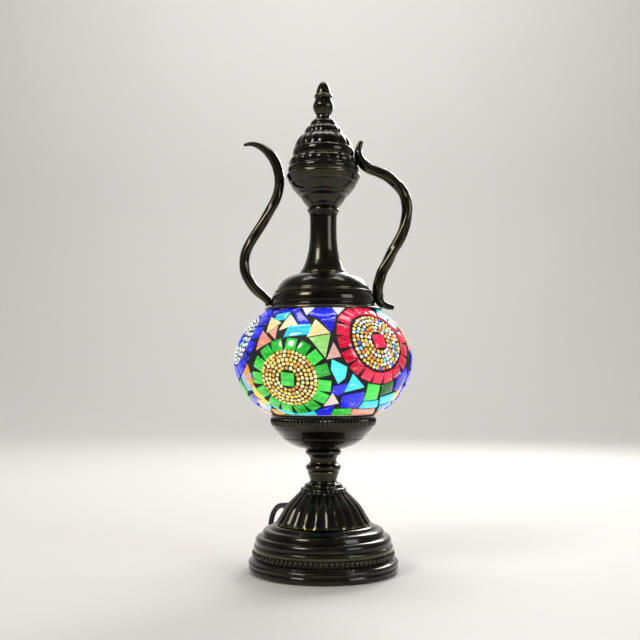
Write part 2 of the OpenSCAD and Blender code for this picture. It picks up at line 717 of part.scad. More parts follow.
module top_nut() {
    color([0.72, 0.7, 0.66]) translate([0, 0, neck_z - spun_t * 1.6]) {
        translate([0, 0, -1.2]) ring(8, rod_hole_r, 1.2);
        translate([0, 0, -4.8]) hex_nut(5.8, rod_r + thread_fit, 3.6);
    }
}

// ---- Handle and spout ----

// Sides of the top where the handle and spout join on, and how high they reach
skirt_r = 46 * cap_kr;
join_low_z = rim_screw_z;
join_high_z = lid_z + 22 * lid_kz;
// A point of the handle or spout: outwards by x from the skirt's or the lid's side, and the
// share v of the way up from the skirt to the lid
function beside(x, v) = [lerp(skirt_r, lid_r_out, v) + x, 0, lerp(join_low_z, join_high_z, v)];
lid_r_out = 27.7 * lid_kr;

handle_route = [for (p = [[16.6, -0.05], [9.8, -0.038], [4.8, -0.012], [4.1, 0.035], [5.2, 0.09], [7.5, 0.137],
    [10.4, 0.188], [16.4, 0.253], [23, 0.326], [29.7, 0.398], [35.1, 0.47], [38.6, 0.53], [40.6, 0.58],
    [41.2, 0.63], [40.4, 0.686], [37.6, 0.74], [32.6, 0.79], [25.6, 0.832], [18.4, 0.855], [11.4, 0.876],
    [6.4, 0.918], [3.9, 0.958], [4.2, 1.0], [7.9, 1.06]]) beside(p.x, p.y)];
handle_size = [for (i = [0 : len(handle_route) - 1])
    bar_r * min(1, 0.5 + 0.17 * min(i, len(handle_route) - 1 - i))];

module handle() {
    color([0.22, 0.18, 0.1]) difference() {
        sweep(handle_route, handle_size, 10);
        rim_drill(1);
    }
}

spout_route = [for (p = [[2.2, -0.038], [3.4, -0.009], [7.8, 0.02], [12.9, 0.049], [18.2, 0.086], [23, 0.129],
    [27, 0.173], [29.6, 0.228], [30.3, 0.282], [29.1, 0.333], [25.7, 0.398], [21.5, 0.464], [17.3, 0.529],
    [13.1, 0.595], [9.7, 0.66], [8.2, 0.725], [8.6, 0.805], [11.2, 0.871], [14.9, 0.922], [19.8, 0.967],
    [26, 1.007], [33, 1.034], [39.2, 1.042], [45.4, 1.033]]) beside(p.x, p.y)];
spout_size = [for (i = [0 : len(spout_route) - 1])
    spout_r * min(1, 0.62 + 0.09 * min(i + 1, len(spout_route) - 1 - i))];

module spout() {
    color([0.22, 0.18, 0.1]) difference() {
        mirror([1, 0, 0]) sweep(spout_route, spout_size, 10);
        rim_drill(-1);
    }
}

module rim_drill(s) {
    translate([0, 0, rim_screw_z]) along([s, 0]) translate([0, 0, skirt_r - 4])
        cylinder(h = 7, r = screw_r + thread_fit);
}

module rim_screws() {
    color([0.72, 0.7, 0.66]) for (s = [-1, 1]) translate([0, 0, rim_screw_z]) along([s, 0]) {
        translate([0, 0, rim_screw_in + 1.4]) cylinder(h = skirt_r + 2.4 - rim_screw_in - 1.4, r = screw_r);
        translate([0, 0, skirt_r - spun_t - 3.4]) cylinder(h = 1.6, r = screw_r * 2);
    }
}

// A round bar along a route that lies in any plane, closed at both ends
module sweep(route, sizes, sides) {
    n = len(route);
    function heading(i) = unit(route[min(i + 1, n - 1)] - route[max(i - 1, 0)]);
    function frames(i, side) = i == n ? [] :
        let (t = heading(i), s = unit(side - t * (side * t)))
        concat([[s, cross(t, s)]], frames(i + 1, s));
    first = abs(heading(0).y) < 0.9 ? [0, 1, 0] : [1, 0, 0];
    turned_sides = frames(0, first);
    rings = [for (i = [0 : n - 1]) for (k = [0 : sides - 1]) let (a = 360 * k / sides)
        route[i] + (turned_sides[i][0] * cos(a) + turned_sides[i][1] * sin(a)) * sizes[i]];
    skin = [for (i = [0 : n - 2]) for (k = [0 : sides - 1]) let (m = (k + 1) % sides)
        [i * sides + k, (i + 1) * sides + k, (i + 1) * sides + m, i * sides + m]];
    ends = [[for (k = [0 : sides - 1]) k], [for (k = [sides - 1 : -1 : 0]) (n - 1) * sides + k]];
    polyhedron(points = rings, faces = concat(skin, ends), convexity = 6);
}

// ---- Cord, switch and plug ----

relief_len = 30;
relief_end_r = relief_seat_r + relief_len;

module strain_relief() {
    color([0.04, 0.04, 0.04]) translate([0, 0, relief_z]) along(flex_side) difference() {
        union() {
            translate([0, 0, relief_seat_r]) cylinder(h = 11.1, r = relief_in_r - 0.1);
            translate([0, 0, relief_seat_r + 11]) cylinder(h = relief_len - 11, r1 = 4.8, r2 = cord_r + 0.7);
            translate([0, 0, relief_seat_r - 1.4]) cylinder(h = 1.4, r = relief_in_r + 1.2);
        }
        translate([0, 0, relief_seat_r - 2]) cylinder(h = relief_len + 4, r = 2);
    }
}

// The flex from the strain relief down to the table and along it to the switch
lead_route = [[-36, 48, 50], [-39.2, 52.3, 49.8], [-42.8, 57, 47.9], [-46.1, 61.5, 43.9], [-48.6, 64.8, 38],
    [-50, 66.8, 31], [-50.5, 68.2, 23.8], [-50, 71.2, 16.8], [-48.6, 76, 10.6], [-46.2, 82, 6],
    [-43, 88.4, 3.4],
    [-38.8, 94.2, 2.6], [-33.4, 98.6, 2.5], [-27, 101.2, 2.5], [-19, 102, 2.5]];
// From the switch round to the coil's first turn
link_route = [[35, 102, 2.5], [40, 102.3, 2.5], [46.4, 104.1, 2.5], [52, 108.1, 2.5], [56, 113.6, 2.5],
    [58.1, 120, 2.5], [58.2, 126.8, 2.6], [56.2, 133.6, 2.7], [52.8, 139.8, 2.8], [48.8, 145.8, 3],
    [44.6, 152, 3.2], [40.2, 158.6, 3.3], [36.2, 164.4, 3.3]];
// From the coil's last turn up into the plug that lies on the coil
tail_route = [[12.2, 173.6, 13.3], [6.6, 174.9, 13.6], [0.9, 174.8, 14.4], [-4.7, 173.4, 15.8],
    [-9.9, 170.6, 17.8], [-14.2, 166.7, 19.7], [-17.4, 161.9, 21.2], [-19.3, 156.6, 22.3], [-20, 151, 22.6]];

module cord_piece(route) {
    color([0.03, 0.03, 0.03]) sweep(route, [for (p = route) cord_r], 8);
}

module cord_lead() {
    cord_piece(lead_route);
}

module cord_link() {
    cord_piece(link_route);
}

module cord_tail() {
    cord_piece(tail_route);
}

tie_t = 0.8;
tie_w = 12;
tie_side = -40;
tie_gap = 0.05;
coil_at = [4, 151, tie_t];
coil_half_w = 7.5;

// Section of the coil's turns together, grown by a thickness
function coil_section(grow) = [for (c = [[1, -1, 270], [1, 1, 0], [-1, 1, 90], [-1, -1, 180]])
    for (k = [0 : 3]) let (a = c[2] + 30 * k)
    [coil_r + c[0] * (coil_half_w - cord_r) + (cord_r + grow) * cos(a),
    coil_h / 2 + c[1] * (coil_h / 2 - cord_r) + (cord_r + grow) * sin(a)]];

module cord_coil() {
    color([0.05, 0.05, 0.05]) translate(coil_at) rotate_extrude() polygon(coil_section(0));
}

// The strap that holds the coil's turns together
module coil_tie() {
    color([0.1, 0.1, 0.1]) translate(coil_at) intersection() {
        difference() {
            rotate_extrude() polygon(coil_section(tie_t));
            rotate_extrude() polygon(coil_section(tie_gap));
        }
        rotate([0, 0, tie_side]) translate([coil_r - 12, -tie_w / 2, -2]) cube([24, tie_w, coil_h + 4]);
    }
}

// The switch lies on the table with its length along X; the flex runs through it
switch_at = [8, 102, 0];
parting = switch_h * 0.5;
rocker_l = 15;
rocker_w = 9;
rocker_z = switch_h - 2.2;
rocker_tilt = 8;
shell_t = 1.6;
window_gap = 0.5;
pin_r = 0.9;
pin_gap = 0.1;
lug_t = 2;

module rounded_block(l, w, h, r) {
    hull() for (x = [-1, 1]) for (y = [-1, 1])
        translate([x * (l / 2 - r), y * (w / 2 - r), 0]) cylinder(h = h, r = r, $fn = 32);
}

module switch_base() {
    color([0.04, 0.04, 0.04]) translate(switch_at) difference() {
        rounded_block(switch_l, switch_w, parting, 7);
        translate([0, 0, shell_t]) rounded_block(switch_l - 2 * shell_t, switch_w - 2 * shell_t, parting, 6);
        flex_holes();
    }
}

module switch_cover() {
    color([0.04, 0.04, 0.04]) translate(switch_at) difference() {
        union() {
            difference() {
                translate([0, 0, parting]) rounded_block(switch_l, switch_w, switch_h - parting, 7);
                translate([0, 0, parting - 1])
                    rounded_block(switch_l - 2 * shell_t, switch_w - 2 * shell_t, switch_h - parting - 1, 6);
            }
            for (s = [-1, 1])
                translate([-2.5, s * (rocker_w / 2 + window_gap + lug_t / 2) - lug_t / 2, rocker_z - 2.2])
                    cube([5, lug_t, 3]);
        }
        translate([-rocker_l / 2 - window_gap, -rocker_w / 2 - window_gap, 0])
            cube([rocker_l + 2 * window_gap, rocker_w + 2 * window_gap, switch_h + 1]);
        rocker_pin(pin_r + pin_gap, rocker_w + 2 * (window_gap + lug_t) + 1);
    }
}

// The rocker's pin, or the bore that it turns in
module rocker_pin(r, l) {
    translate([0, l / 2, rocker_z]) rotate([90, 0, 0]) cylinder(h = l, r = r);
}

module flex_holes() {
    translate([-switch_l, 0, cord_r]) rotate([0, 90, 0]) cylinder(h = 2 * switch_l, r = cord_r + 0.1);
}

// The rocker rests tipped down at its +X end, which is on
module switch_rocker() {
    half = rocker_l / 2;
    lift = 1.5;
    dip = half * tan(rocker_tilt);
    color([0.06, 0.06, 0.06]) translate(switch_at) {
        translate([0, 0, rocker_z]) rotate([0, rocker_tilt, 0])
            translate([0, rocker_w / 2, 0]) rotate([90, 0, 0]) linear_extrude(height = rocker_w)
                polygon([[-half + 0.6, lift + dip], [0, lift + 0.2], [half - 0.6, lift + dip], [half - 0.4, 0],
                    [2.4, -3.4], [-2.4, -3.4], [-half + 0.4, 0]]);
        rocker_pin(pin_r, rocker_w + 2 * (window_gap + lug_t) - 0.6);
    }
}

// The plug lies on the coil, with its pins towards -Y
plug_l = 30;
plug_at = [-20, 151, 22.6];

module plug_body() {
    color([0.04, 0.04, 0.04]) translate(plug_at) rotate([90, 0, 0]) {
        translate([0, 0, 10]) hull() for (x = [-1, 1]) {
            translate([x * 7, 0, 0]) cylinder(h = 2, r = 4.8, $fn = 32);
            translate([x * 10.6, 0, 8]) cylinder(h = 22, r = 6.2, $fn = 32);
        }
        cylinder(h = 11, r1 = cord_r + 0.9, r2 = 4.4);
    }
}

module plug_pins() {
    color([0.8, 0.78, 0.7]) for (x = [-1, 1]) translate(plug_at) rotate([90, 0, 0])
        translate([x * 9.5, 0, 40]) {
            cylinder(h = 16, r = 2);
            translate([0, 0, 16]) sphere(r = 2);
        }
}

felt_pad();
base_cover();
foot();
clamp_plate();
base_nut();
fluted_cone();
stem_tube();
stem_lower();
stem_knop();
stem_upper();
globe_bowl();
bowl_washer();
bowl_nut();
holder_cap();
holder_shell();
holder_insert();
holder_screw_shell();
holder_contact();
terminal_screws();
inner_flex();
bulb_glass();
bulb_cap();
bulb_contact();
bulb_filament();
globe_bedding();
globe_glass();
grout_bed();
squares_green();
squares_red();
squares_blue();
beads_gold();
beads_mixed();
beads_clear();
filler_tiles();
edge_tiles();
cap_band();
cap_dome();
cap_clips();
clip_rivets();
neck();
funnel_collar();
lid_drum();
lid_dome();
finial();
top_rod();
top_nut();
handle();
spout();
rim_screws();
strain_relief();
cord_lead();
switch_base();
switch_cover();
switch_rocker();
cord_link();
cord_coil();
coil_tie();
cord_tail();
plug_body();
plug_pins();
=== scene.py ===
"""Mosaic glass ewer lamp: the looks of every piece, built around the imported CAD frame.

Sizes are in millimetres in the classes and in metres in the meshes. +Z is up, the handle is
on +X, the spout on -X, and the side that faces the viewer is -Y.
"""

import logging
import math
import random
from collections.abc import Callable, Iterable, Sequence
from dataclasses import dataclass, field
from enum import Enum

import bmesh
import bpy
import numpy as np
from mathutils import Matrix, Vector


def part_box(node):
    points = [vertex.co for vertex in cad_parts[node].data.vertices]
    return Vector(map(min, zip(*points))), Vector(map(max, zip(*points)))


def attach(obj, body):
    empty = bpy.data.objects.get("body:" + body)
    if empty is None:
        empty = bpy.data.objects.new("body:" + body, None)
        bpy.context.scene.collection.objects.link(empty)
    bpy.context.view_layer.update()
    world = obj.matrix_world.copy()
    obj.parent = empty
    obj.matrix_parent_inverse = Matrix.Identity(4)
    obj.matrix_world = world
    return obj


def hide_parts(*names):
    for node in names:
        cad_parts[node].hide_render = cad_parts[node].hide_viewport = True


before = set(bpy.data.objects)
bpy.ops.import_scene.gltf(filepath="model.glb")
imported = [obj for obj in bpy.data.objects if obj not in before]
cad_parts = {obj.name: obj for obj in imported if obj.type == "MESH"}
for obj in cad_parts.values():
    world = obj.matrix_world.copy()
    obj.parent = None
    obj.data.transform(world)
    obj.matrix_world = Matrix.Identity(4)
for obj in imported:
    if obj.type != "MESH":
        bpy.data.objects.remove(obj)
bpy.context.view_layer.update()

logging.basicConfig(level=logging.INFO, format="%(message)s")
log = logging.getLogger("lamp")

MM = 0.001
Point = tuple[float, float]
Point3 = tuple[float, float, float]
Colour = tuple[float, float, float]


class Body(Enum):
    """The rigid bodies that pieces ride on."""

    ROOT = "root"
    TOP = "top"
    BULB = "bulb"
    ROCKER = "rocker"


# ---------------------------------------------------------------- outlines


def swell(a: Point, b: Point, height: float, count: int = 8) -> list[Point]:
    """A line from a to b that swells to its right.

    Args:
        a: first point, as radius and height.
        b: last point.
        height: how far the middle stands out.
        count: number of steps.

    Returns:
        The points from a to b.
    """
    dx, dz = b[0] - a[0], b[1] - a[1]
    size = math.hypot(dx, dz)
    rows = []
    for i in range(count + 1):
        t = i / count
        out = height * 4 * t * (1 - t) / size
        rows.append((a[0] + dx * t + dz * out, a[1] + dz * t - dx * out))
    return rows


def fitted(outline: Sequence[Point], node: str) -> list[Point]:
    """Stretches an outline so that it fills a CAD node's height and widest radius.

    Args:
        outline: radius and height pairs in millimetres.
        node: the CAD node whose box is filled.

    Returns:
        The outline in metres.
    """
    low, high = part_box(node)
    z0, z1 = min(p[1] for p in outline), max(p[1] for p in outline)
    k_z = (high[2] - low[2]) / (z1 - z0)
    k_r = (high[1] - low[1]) / 2 / max(p[0] for p in outline)
    return [(r * k_r, low[2] + (z - z0) * k_z) for r, z in outline]


# ---------------------------------------------------------------- modelling


def deselect_all() -> None:
    """Leaves nothing selected."""
    if bpy.context.object and bpy.context.object.mode != "OBJECT":
        bpy.ops.object.mode_set(mode="OBJECT")
    bpy.ops.object.select_all(action="DESELECT")


def make_active(piece: bpy.types.Object) -> None:
    """Selects one piece alone and makes it active.

    Args:
        piece: the piece.
    """
    deselect_all()
    piece.select_set(True)
    bpy.context.view_layer.objects.active = piece


def editing(piece: bpy.types.Object) -> bmesh.types.BMesh:
    """Opens a piece in edit mode.

    Args:
        piece: the mesh to edit.

    Returns:
        The edit mesh.
    """
    make_active(piece)
    bpy.ops.object.mode_set(mode="EDIT")
    return bmesh.from_edit_mesh(piece.data)


def done_editing() -> None:
    """Goes back to object mode."""
    bpy.ops.object.mode_set(mode="OBJECT")


def pick_verts(piece: bpy.types.Object, wanted: Callable[[Vector], bool]) -> None:
    """Selects the vertices whose place passes a test, in edit mode.

    Args:
        piece: the mesh being edited.
        wanted: the test on a vertex's place.
    """
    work = bmesh.from_edit_mesh(piece.data)
    bpy.ops.mesh.select_mode(type="VERT")
    for vert in work.verts:
        vert.select_set(wanted(vert.co))
    work.select_flush(True)
    bmesh.update_edit_mesh(piece.data)


def smooth(piece: bpy.types.Object, angle: float = 32) -> None:
    """Shades a piece smooth, with sharp edges past an angle in degrees."""
    make_active(piece)
    bpy.ops.object.shade_smooth_by_angle(angle=math.radians(angle))


def apply_modifier(piece: bpy.types.Object, kind: str, **settings: object) -> None:
    """Adds a modifier to a piece and applies it.

    Args:
        piece: the mesh to finish.
        kind: the modifier's type.
        **settings: the modifier's settings.
    """
    make_active(piece)
    bpy.ops.object.modifier_add(type=kind)
    modifier = piece.modifiers[-1]
    for name, value in settings.items():
        setattr(modifier, name, value)
    bpy.ops.object.modifier_apply(modifier=modifier.name)


def joined(parts: Sequence[bpy.types.Object], name: str) -> bpy.types.Object:
    """Joins meshes into one piece.

    Args:
        parts: the meshes.
        name: the new piece's name.

    Returns:
        The joined piece.
    """
    make_active(parts[0])
    for part in parts:
        part.select_set(True)
    if len(parts) > 1:
        bpy.ops.object.join()
    piece = bpy.context.object
    piece.name = name
    return piece


def copy_of(master: bpy.types.Object, place: Matrix, tone: float | None = None) -> bpy.types.Object:
    """Copies a piece with its own mesh, put in place in its mesh.

    Args:
        master: the modelled piece.
        place: where the copy goes.
        tone: value of the copy's tone attribute, or None.

    Returns:
        The copy.
    """
    twin = master.copy()
    twin.data = master.data.copy()
    twin.data.transform(place)
    bpy.context.collection.objects.link(twin)
    if tone is not None:
        layer = twin.data.attributes.new("tone", "FLOAT", "POINT")
        layer.data.foreach_set("value", [tone] * len(twin.data.vertices))
    return twin


def remove(piece: bpy.types.Object) -> None:
    """Deletes a piece and its mesh."""
    bpy.data.objects.remove(piece, do_unlink=True)


def turned(name: str, outline: Sequence[Point], steps: int = 96) -> bpy.types.Object:
    """Turns an outline about the Z axis, as on a lathe.

    Args:
        name: the piece's name.
        outline: radius and height pairs in metres; the first and last may lie on the axis.
        steps: number of columns round the piece.

    Returns:
        The turned piece, closed if its outline is closed.
    """
    deselect_all()
    bpy.ops.mesh.primitive_plane_add(size=0.001)
    piece = bpy.context.object
    piece.name = name
    bpy.ops.object.mode_set(mode="EDIT")
    bpy.ops.mesh.select_all(action="SELECT")
    bpy.ops.mesh.merge(type="CENTER")
    bpy.ops.transform.translate(value=(outline[0][0], 0, outline[0][1]))
    for (r0, z0), (r1, z1) in zip(outline, outline[1:]):
        bpy.ops.mesh.extrude_region_move(TRANSFORM_OT_translate={"value": (r1 - r0, 0, z1 - z0)})
    bpy.ops.mesh.select_all(action="SELECT")
    bpy.ops.mesh.spin(steps=steps, angle=math.tau, center=(0, 0, 0), axis=(0, 0, 1))
    bpy.ops.mesh.select_all(action="SELECT")
    bpy.ops.mesh.remove_doubles(threshold=1e-6)
    bpy.ops.mesh.normals_make_consistent(inside=False)
    done_editing()
    return piece


def press_columns(
    piece: bpy.types.Object,
    count: int,
    factors: Sequence[float],
    low: float,
    high: float,
    min_r: float = 0.0,
    twist: float = 0.0,
) -> None:
    """Presses columns of a turned piece in or out, to make flutes, lobes or gadroons.

    Args:
        piece: a turned piece with count times len(factors) columns.
        count: number of flutes.
        factors: radial scale of each column within a flute.
        low: lowest height that is pressed.
        high: greatest height that is pressed.
        min_r: vertices nearer the axis than this are left alone.
        twist: how many columns the pattern leans over the height.
    """
    columns = count * len(factors)
    editing(piece)
    for phase, factor in enumerate(factors):
        if abs(factor - 1) < 1e-6:
            continue

        def wanted(co: Vector, phase: int = phase) -> bool:
            if not low <= co.z <= high or math.hypot(co.x, co.y) < min_r:
                return False
            lean = twist * (co.z - low) / max(high - low, 1e-9)
            column = round(math.atan2(co.y, co.x) / math.tau * columns + lean)
            return column % len(factors) == phase

        pick_verts(piece, wanted)
        bpy.ops.transform.resize(value=(factor, factor, 1), center_override=(0, 0, 0))
    done_editing()


def mark_wear_and_highlight(piece: bpy.types.Object, reach: int = 2, gain: float = 2.2) -> None:
    """Stores how far each vertex stands proud of its neighbours, for edge wear and dirt, and for a painted
    highlight on edges.

    Args:
        piece: the mesh that gets the attribute "proud", from 0 in grooves to 1 on edges.
        reach: how many times the value is spread to neighbours.
        gain: how strongly an edge or a groove counts.
    """
    mesh = piece.data
    count = len(mesh.vertices)
    co = np.empty(count * 3)
    mesh.vertices.foreach_get("co", co)
    co = co.reshape(-1, 3)
    normal = np.empty(count * 3)
    mesh.vertices.foreach_get("normal", normal)
    normal = normal.reshape(-1, 3)
    edges = np.empty(len(mesh.edges) * 2, dtype=np.int64)
    mesh.edges.foreach_get("vertices", edges)
    a, b = edges.reshape(-1, 2).T
    way = co[b] - co[a]
    size = np.maximum(np.linalg.norm(way, axis=1), 1e-7)
    total, links = np.zeros(count), np.zeros(count)
    np.add.at(total, a, -(way * normal[a]).sum(1) / size)
    np.add.at(total, b, (way * normal[b]).sum(1) / size)
    np.add.at(links, a, 1)
    np.add.at(links, b, 1)
    links = np.maximum(links, 1)
    value = total / links
    for _ in range(reach):
        spread = np.zeros(count)
        np.add.at(spread, a, value[b])
        np.add.at(spread, b, value[a])
        value = 0.5 * value + 0.5 * spread / links
    proud = np.clip(0.5 + value * gain, 0, 1)
    layer = mesh.attributes.new("proud", "FLOAT", "POINT")
    layer.data.foreach_set("value", proud)


# ---------------------------------------------------------------- shaders


class Value:
    """A number that runs through a material, with the usual arithmetic."""

    def __init__(self, shader: "Shader", socket: bpy.types.NodeSocket) -> None:
        """Wraps a socket.

        Args:
            shader: the material that holds the socket.
            socket: the output that carries the number.
        """
        self.shader = shader
        self.socket = socket

    def _math(self, operation: str, *values: "Value | float") -> "Value":
        """Adds a Math node on these values and returns its result."""
        return self.shader.math(operation, *values)

    def __add__(self, other: "Value | float") -> "Value":
        """The sum."""
        return self._math("ADD", self, other)

    def __radd__(self, other: float) -> "Value":
        """The sum, the other way round."""
        return self._math("ADD", other, self)

    def __sub__(self, other: "Value | float") -> "Value":
        """The difference."""
        return self._math("SUBTRACT", self, other)

    def __rsub__(self, other: float) -> "Value":
        """The difference, the other way round."""
        return self._math("SUBTRACT", other, self)

    def __mul__(self, other: "Value | float") -> "Value":
        """The product."""
        return self._math("MULTIPLY", self, other)

    def __rmul__(self, other: float) -> "Value":
        """The product, the other way round."""
        return self._math("MULTIPLY", other, self)


class Shader:
    """Builds one material's nodes round its Principled shader."""

    def __init__(self, name: str) -> None:
        """Makes the material.

        Args:
            name: the material's name.
        """
        self.material = bpy.data.materials.new(name)
        self.material.use_nodes = True
        self.tree = self.material.node_tree
        self.surface = self.tree.nodes["Principled BSDF"]
        self.place = self.node("ShaderNodeTexCoord").outputs["Object"]

    def node(
        self, kind: str, settings: dict[str, object] | None = None, **inputs: object
    ) -> bpy.types.Node:
        """Adds a node.

        Args:
            kind: the node's type.
            settings: the node's own settings, set before its inputs.
            **inputs: values or links of its inputs, with spaces written as underscores.

        Returns:
            The node.
        """
        made = self.tree.nodes.new(kind)
        for name, value in (settings or {}).items():
            setattr(made, name, value)
        for name, value in inputs.items():
            self.feed(made, name.replace("_", " "), value)
        return made

    def feed(self, node: bpy.types.Node, name: str | int, value: object) -> None:
        """Links or sets one input of a node.

        Args:
            node: the node.
            name: the input's name or number.
            value: a Value, a socket, or a constant.
        """
        socket = node.inputs[name]
        if isinstance(value, Value):
            value = value.socket
        if isinstance(value, bpy.types.NodeSocket):
            self.tree.links.new(value, socket)
        else:
            socket.default_value = value

    def math(self, operation: str, *values: "Value | float") -> Value:
        """Adds a Math node.

        Args:
            operation: the node's operation.
            *values: its inputs in order.

        Returns:
            Its result.
        """
        made = self.node("ShaderNodeMath", {"operation": operation})
        for index, value in enumerate(values):
            self.feed(made, index, value)
        return Value(self, made.outputs[0])

    def noise(self, scale: float, detail: float = 4, rough: float = 0.55, at: object = None) -> Value:
        """A noise from 0 to 1.

        Args:
            scale: its scale.
            detail: its octaves.
            rough: its roughness.
            at: the coordinates, or None for the object's own.

        Returns:
            The noise's value.
        """
        made = self.node(
            "ShaderNodeTexNoise",
            Vector=at or self.place,
            Scale=scale,
            Detail=detail,
            Roughness=rough,
        )
        return Value(self, made.outputs["Fac"])

    def cells(self, scale: float) -> Value:
        """The distance to the nearest point of a cell pattern of this scale."""
        made = self.node("ShaderNodeTexVoronoi", Vector=self.place, Scale=scale)
        return Value(self, made.outputs["Distance"])

    def attribute(self, name: str) -> Value:
        """Reads a number stored on the piece."""
        made = self.node("ShaderNodeAttribute", {"attribute_name": name})
        return Value(self, made.outputs["Fac"])

    def ramp(self, value: Value, low: float, high: float) -> Value:
        """Smoothly rises from 0 at low to 1 at high.

        Args:
            value: what is read.
            low: where the rise starts.
            high: where it ends.

        Returns:
            The result.
        """
        made = self.node(
            "ShaderNodeMapRange", {"interpolation_type": "SMOOTHSTEP"}, Value=value
        )
        for name, number in (("From Min", low), ("From Max", high)):
            made.inputs[name].default_value = number
        return Value(self, made.outputs["Result"])

    def mix(self, factor: "Value | float", a: object, b: object) -> bpy.types.NodeSocket:
        """Mixes two colours.

        Args:
            factor: share of b.
            a: a colour or a socket.
            b: a colour or a socket.

        Returns:
            The mixed colour's socket.
        """
        made = self.node("ShaderNodeMix", {"data_type": "RGBA"})
        self.feed(made, 0, factor)
        for index, value in ((6, a), (7, b)):
            self.feed(made, index, (*value, 1) if isinstance(value, tuple) else value)
        return made.outputs[2]

    def bump(self, height: Value, strength: float, distance: float) -> None:
        """Bends the surface's normal by a height.

        Args:
            height: the height map.
            strength: how much of it shows.
            distance: what a height of 1 stands for, in metres.
        """
        made = self.node("ShaderNodeBump", Height=height, Strength=strength, Distance=distance)
        self.set("Normal", made.outputs["Normal"])

    def set(self, name: str, value: object) -> None:
        """Sets or links an input of the surface shader.

        Args:
            name: the input's name.
            value: a colour, a number, a Value or a socket.
        """
        if isinstance(value, tuple) and len(value) == 3:
            value = (*value, 1)
        self.feed(self.surface, name, value)


@dataclass(frozen=True)
class AgedMetal:
    """Dark antiqued cast or spun metal under lacquer, rubbed bright on its edges; the bright edge colour is
    partly a painted highlight.
    """

    name: str
    dark: Colour = (0.004, 0.004, 0.003)
    body: Colour = (0.022, 0.019, 0.008)
    # Edge colour: rubbed metal, partly a painted highlight
    edge_wear_and_highlight: Colour = (0.13, 0.105, 0.043)
    roughness: float = 0.17
    grain: float = 900.0
    relief: float = 0.25

    def make(self) -> bpy.types.Material:
        """Builds the material."""
        s = Shader(self.name)
        proud = s.attribute("proud")
        cloud = s.noise(55, 5, 0.6)
        fine = s.noise(self.grain, 3, 0.6)
        patina = s.ramp(cloud + proud * 0.35, 0.52, 0.8)
        groove = s.ramp(proud, 0.34, 0.5)
        # Convex edges: rubbed wear, partly a painted highlight
        worn_and_highlight = s.ramp(proud + fine * 0.16 + cloud * 0.2, 0.8, 1.04)
        tint = s.mix(patina, self.dark, self.body)
        tint = s.mix(groove, self.dark, tint)
        tint = s.mix(worn_and_highlight * 0.7, tint, self.edge_wear_and_highlight)
        s.set("Base Color", tint)
        s.set("Metallic", 0.92)
        scratch = s.noise(420, 2, 0.5)
        s.set("Roughness", self.roughness + cloud * 0.16 + (1 - groove) * 0.25 - worn_and_highlight * 0.06)
        s.set("Coat Weight", 0.6)
        s.set("Coat Roughness", 0.07)
        s.bump(fine * 0.5 + scratch * 0.5 + cloud * 1.5, self.relief, 0.0004)
        return s.material


@dataclass(frozen=True)
class SheetGlass:
    """A cut piece of streaky coloured glass, lit from behind."""

    name: str
    deep: Colour
    light: Colour
    glow: float = 0.75
    streak: float = 0.8
    flash: Colour = (1.0, 0.98, 0.95)
    flash_share: float = 0.3

    def make(self) -> bpy.types.Material:
        """Builds the material."""
        s = Shader(self.name)
        tone = s.attribute("tone")
        stretch = s.node("ShaderNodeMapping", Vector=s.place)
        stretch.inputs["Scale"].default_value = (1.0, 1.0, 3.0)
        streaks = s.noise(90, 4, 0.62, stretch.outputs["Vector"])
        fine = s.noise(520, 3, 0.6)
        seeds = s.cells(420)
        light = s.ramp(streaks * self.streak + tone * 0.45 + fine * 0.15, 0.38, 0.92)
        tint = s.mix(light, self.deep, self.light)
        wisp = s.ramp(s.noise(150, 5, 0.7, stretch.outputs["Vector"]), 0.56, 0.72)
        tint = s.mix(wisp * self.flash_share, tint, self.flash)
        pit = 1 - s.ramp(seeds, 0.03, 0.14)
        tint = s.mix(pit * 0.3, tint, self.deep)
        s.set("Base Color", s.mix(0.62, tint, (0.0, 0.0, 0.0)))
        s.set("Emission Color", tint)
        s.set("Emission Strength", self.glow)
        s.set("Roughness", 0.07 + fine * 0.12)
        s.set("IOR", 1.52)
        s.set("Coat Weight", 0.5)
        s.set("Coat Roughness", 0.04)
        s.bump(s.noise(160, 3, 0.5) * 1.4 + fine * 0.35 + pit * -0.6, 0.4, 0.0005)
        return s.material


@dataclass(frozen=True)
class BeadGlass:
    """Small round glass beads whose colours vary from one to the next."""

    name: str
    stops: tuple[tuple[float, Colour], ...]
    glow: float = 0.75

    def make(self) -> bpy.types.Material:
        """Builds the material."""
        s = Shader(self.name)
        ramp = s.node("ShaderNodeValToRGB", Fac=s.attribute("tone"))
        ramp.color_ramp.interpolation = "CONSTANT"
        stops = ramp.color_ramp.elements
        while len(stops) < len(self.stops):
            stops.new(1.0)
        for stop, (place, colour) in zip(stops, self.stops):
            stop.position = place
            stop.color = (*colour, 1)
        fine = s.noise(900, 3, 0.6)
        tint = s.mix(s.ramp(fine, 0.4, 0.8) * 0.22, ramp.outputs["Color"], (1.0, 0.97, 0.86))
        s.set("Base Color", s.mix(0.5, tint, (0.0, 0.0, 0.0)))
        s.set("Emission Color", tint)
        s.set("Emission Strength", self.glow)
        s.set("Roughness", 0.12 + fine * 0.12)
        s.set("Coat Weight", 0.4)
        s.bump(fine, 0.2, 0.0003)
        return s.material


@dataclass(frozen=True)
class Coarse:
    """A dull material of two tones with a grainy surface: grout, plaster, felt or board."""

    name: str
    dark: Colour
    light: Colour
    grain: float = 700.0
    roughness: float = 0.8
    relief: float = 0.5
    sheen: float = 0.0

    def make(self) -> bpy.types.Material:
        """Builds the material."""
        s = Shader(self.name)
        fine = s.noise(self.grain, 5, 0.65)
        cloud = s.noise(self.grain / 9, 3, 0.5)
        s.set("Base Color", s.mix(s.ramp(fine * 0.6 + cloud * 0.4, 0.35, 0.7), self.dark, self.light))
        s.set("Roughness", self.roughness + cloud * 0.12)
        s.set("Sheen Weight", self.sheen)
        s.bump(fine + cloud * 0.5, self.relief, 0.0005)
        return s.material


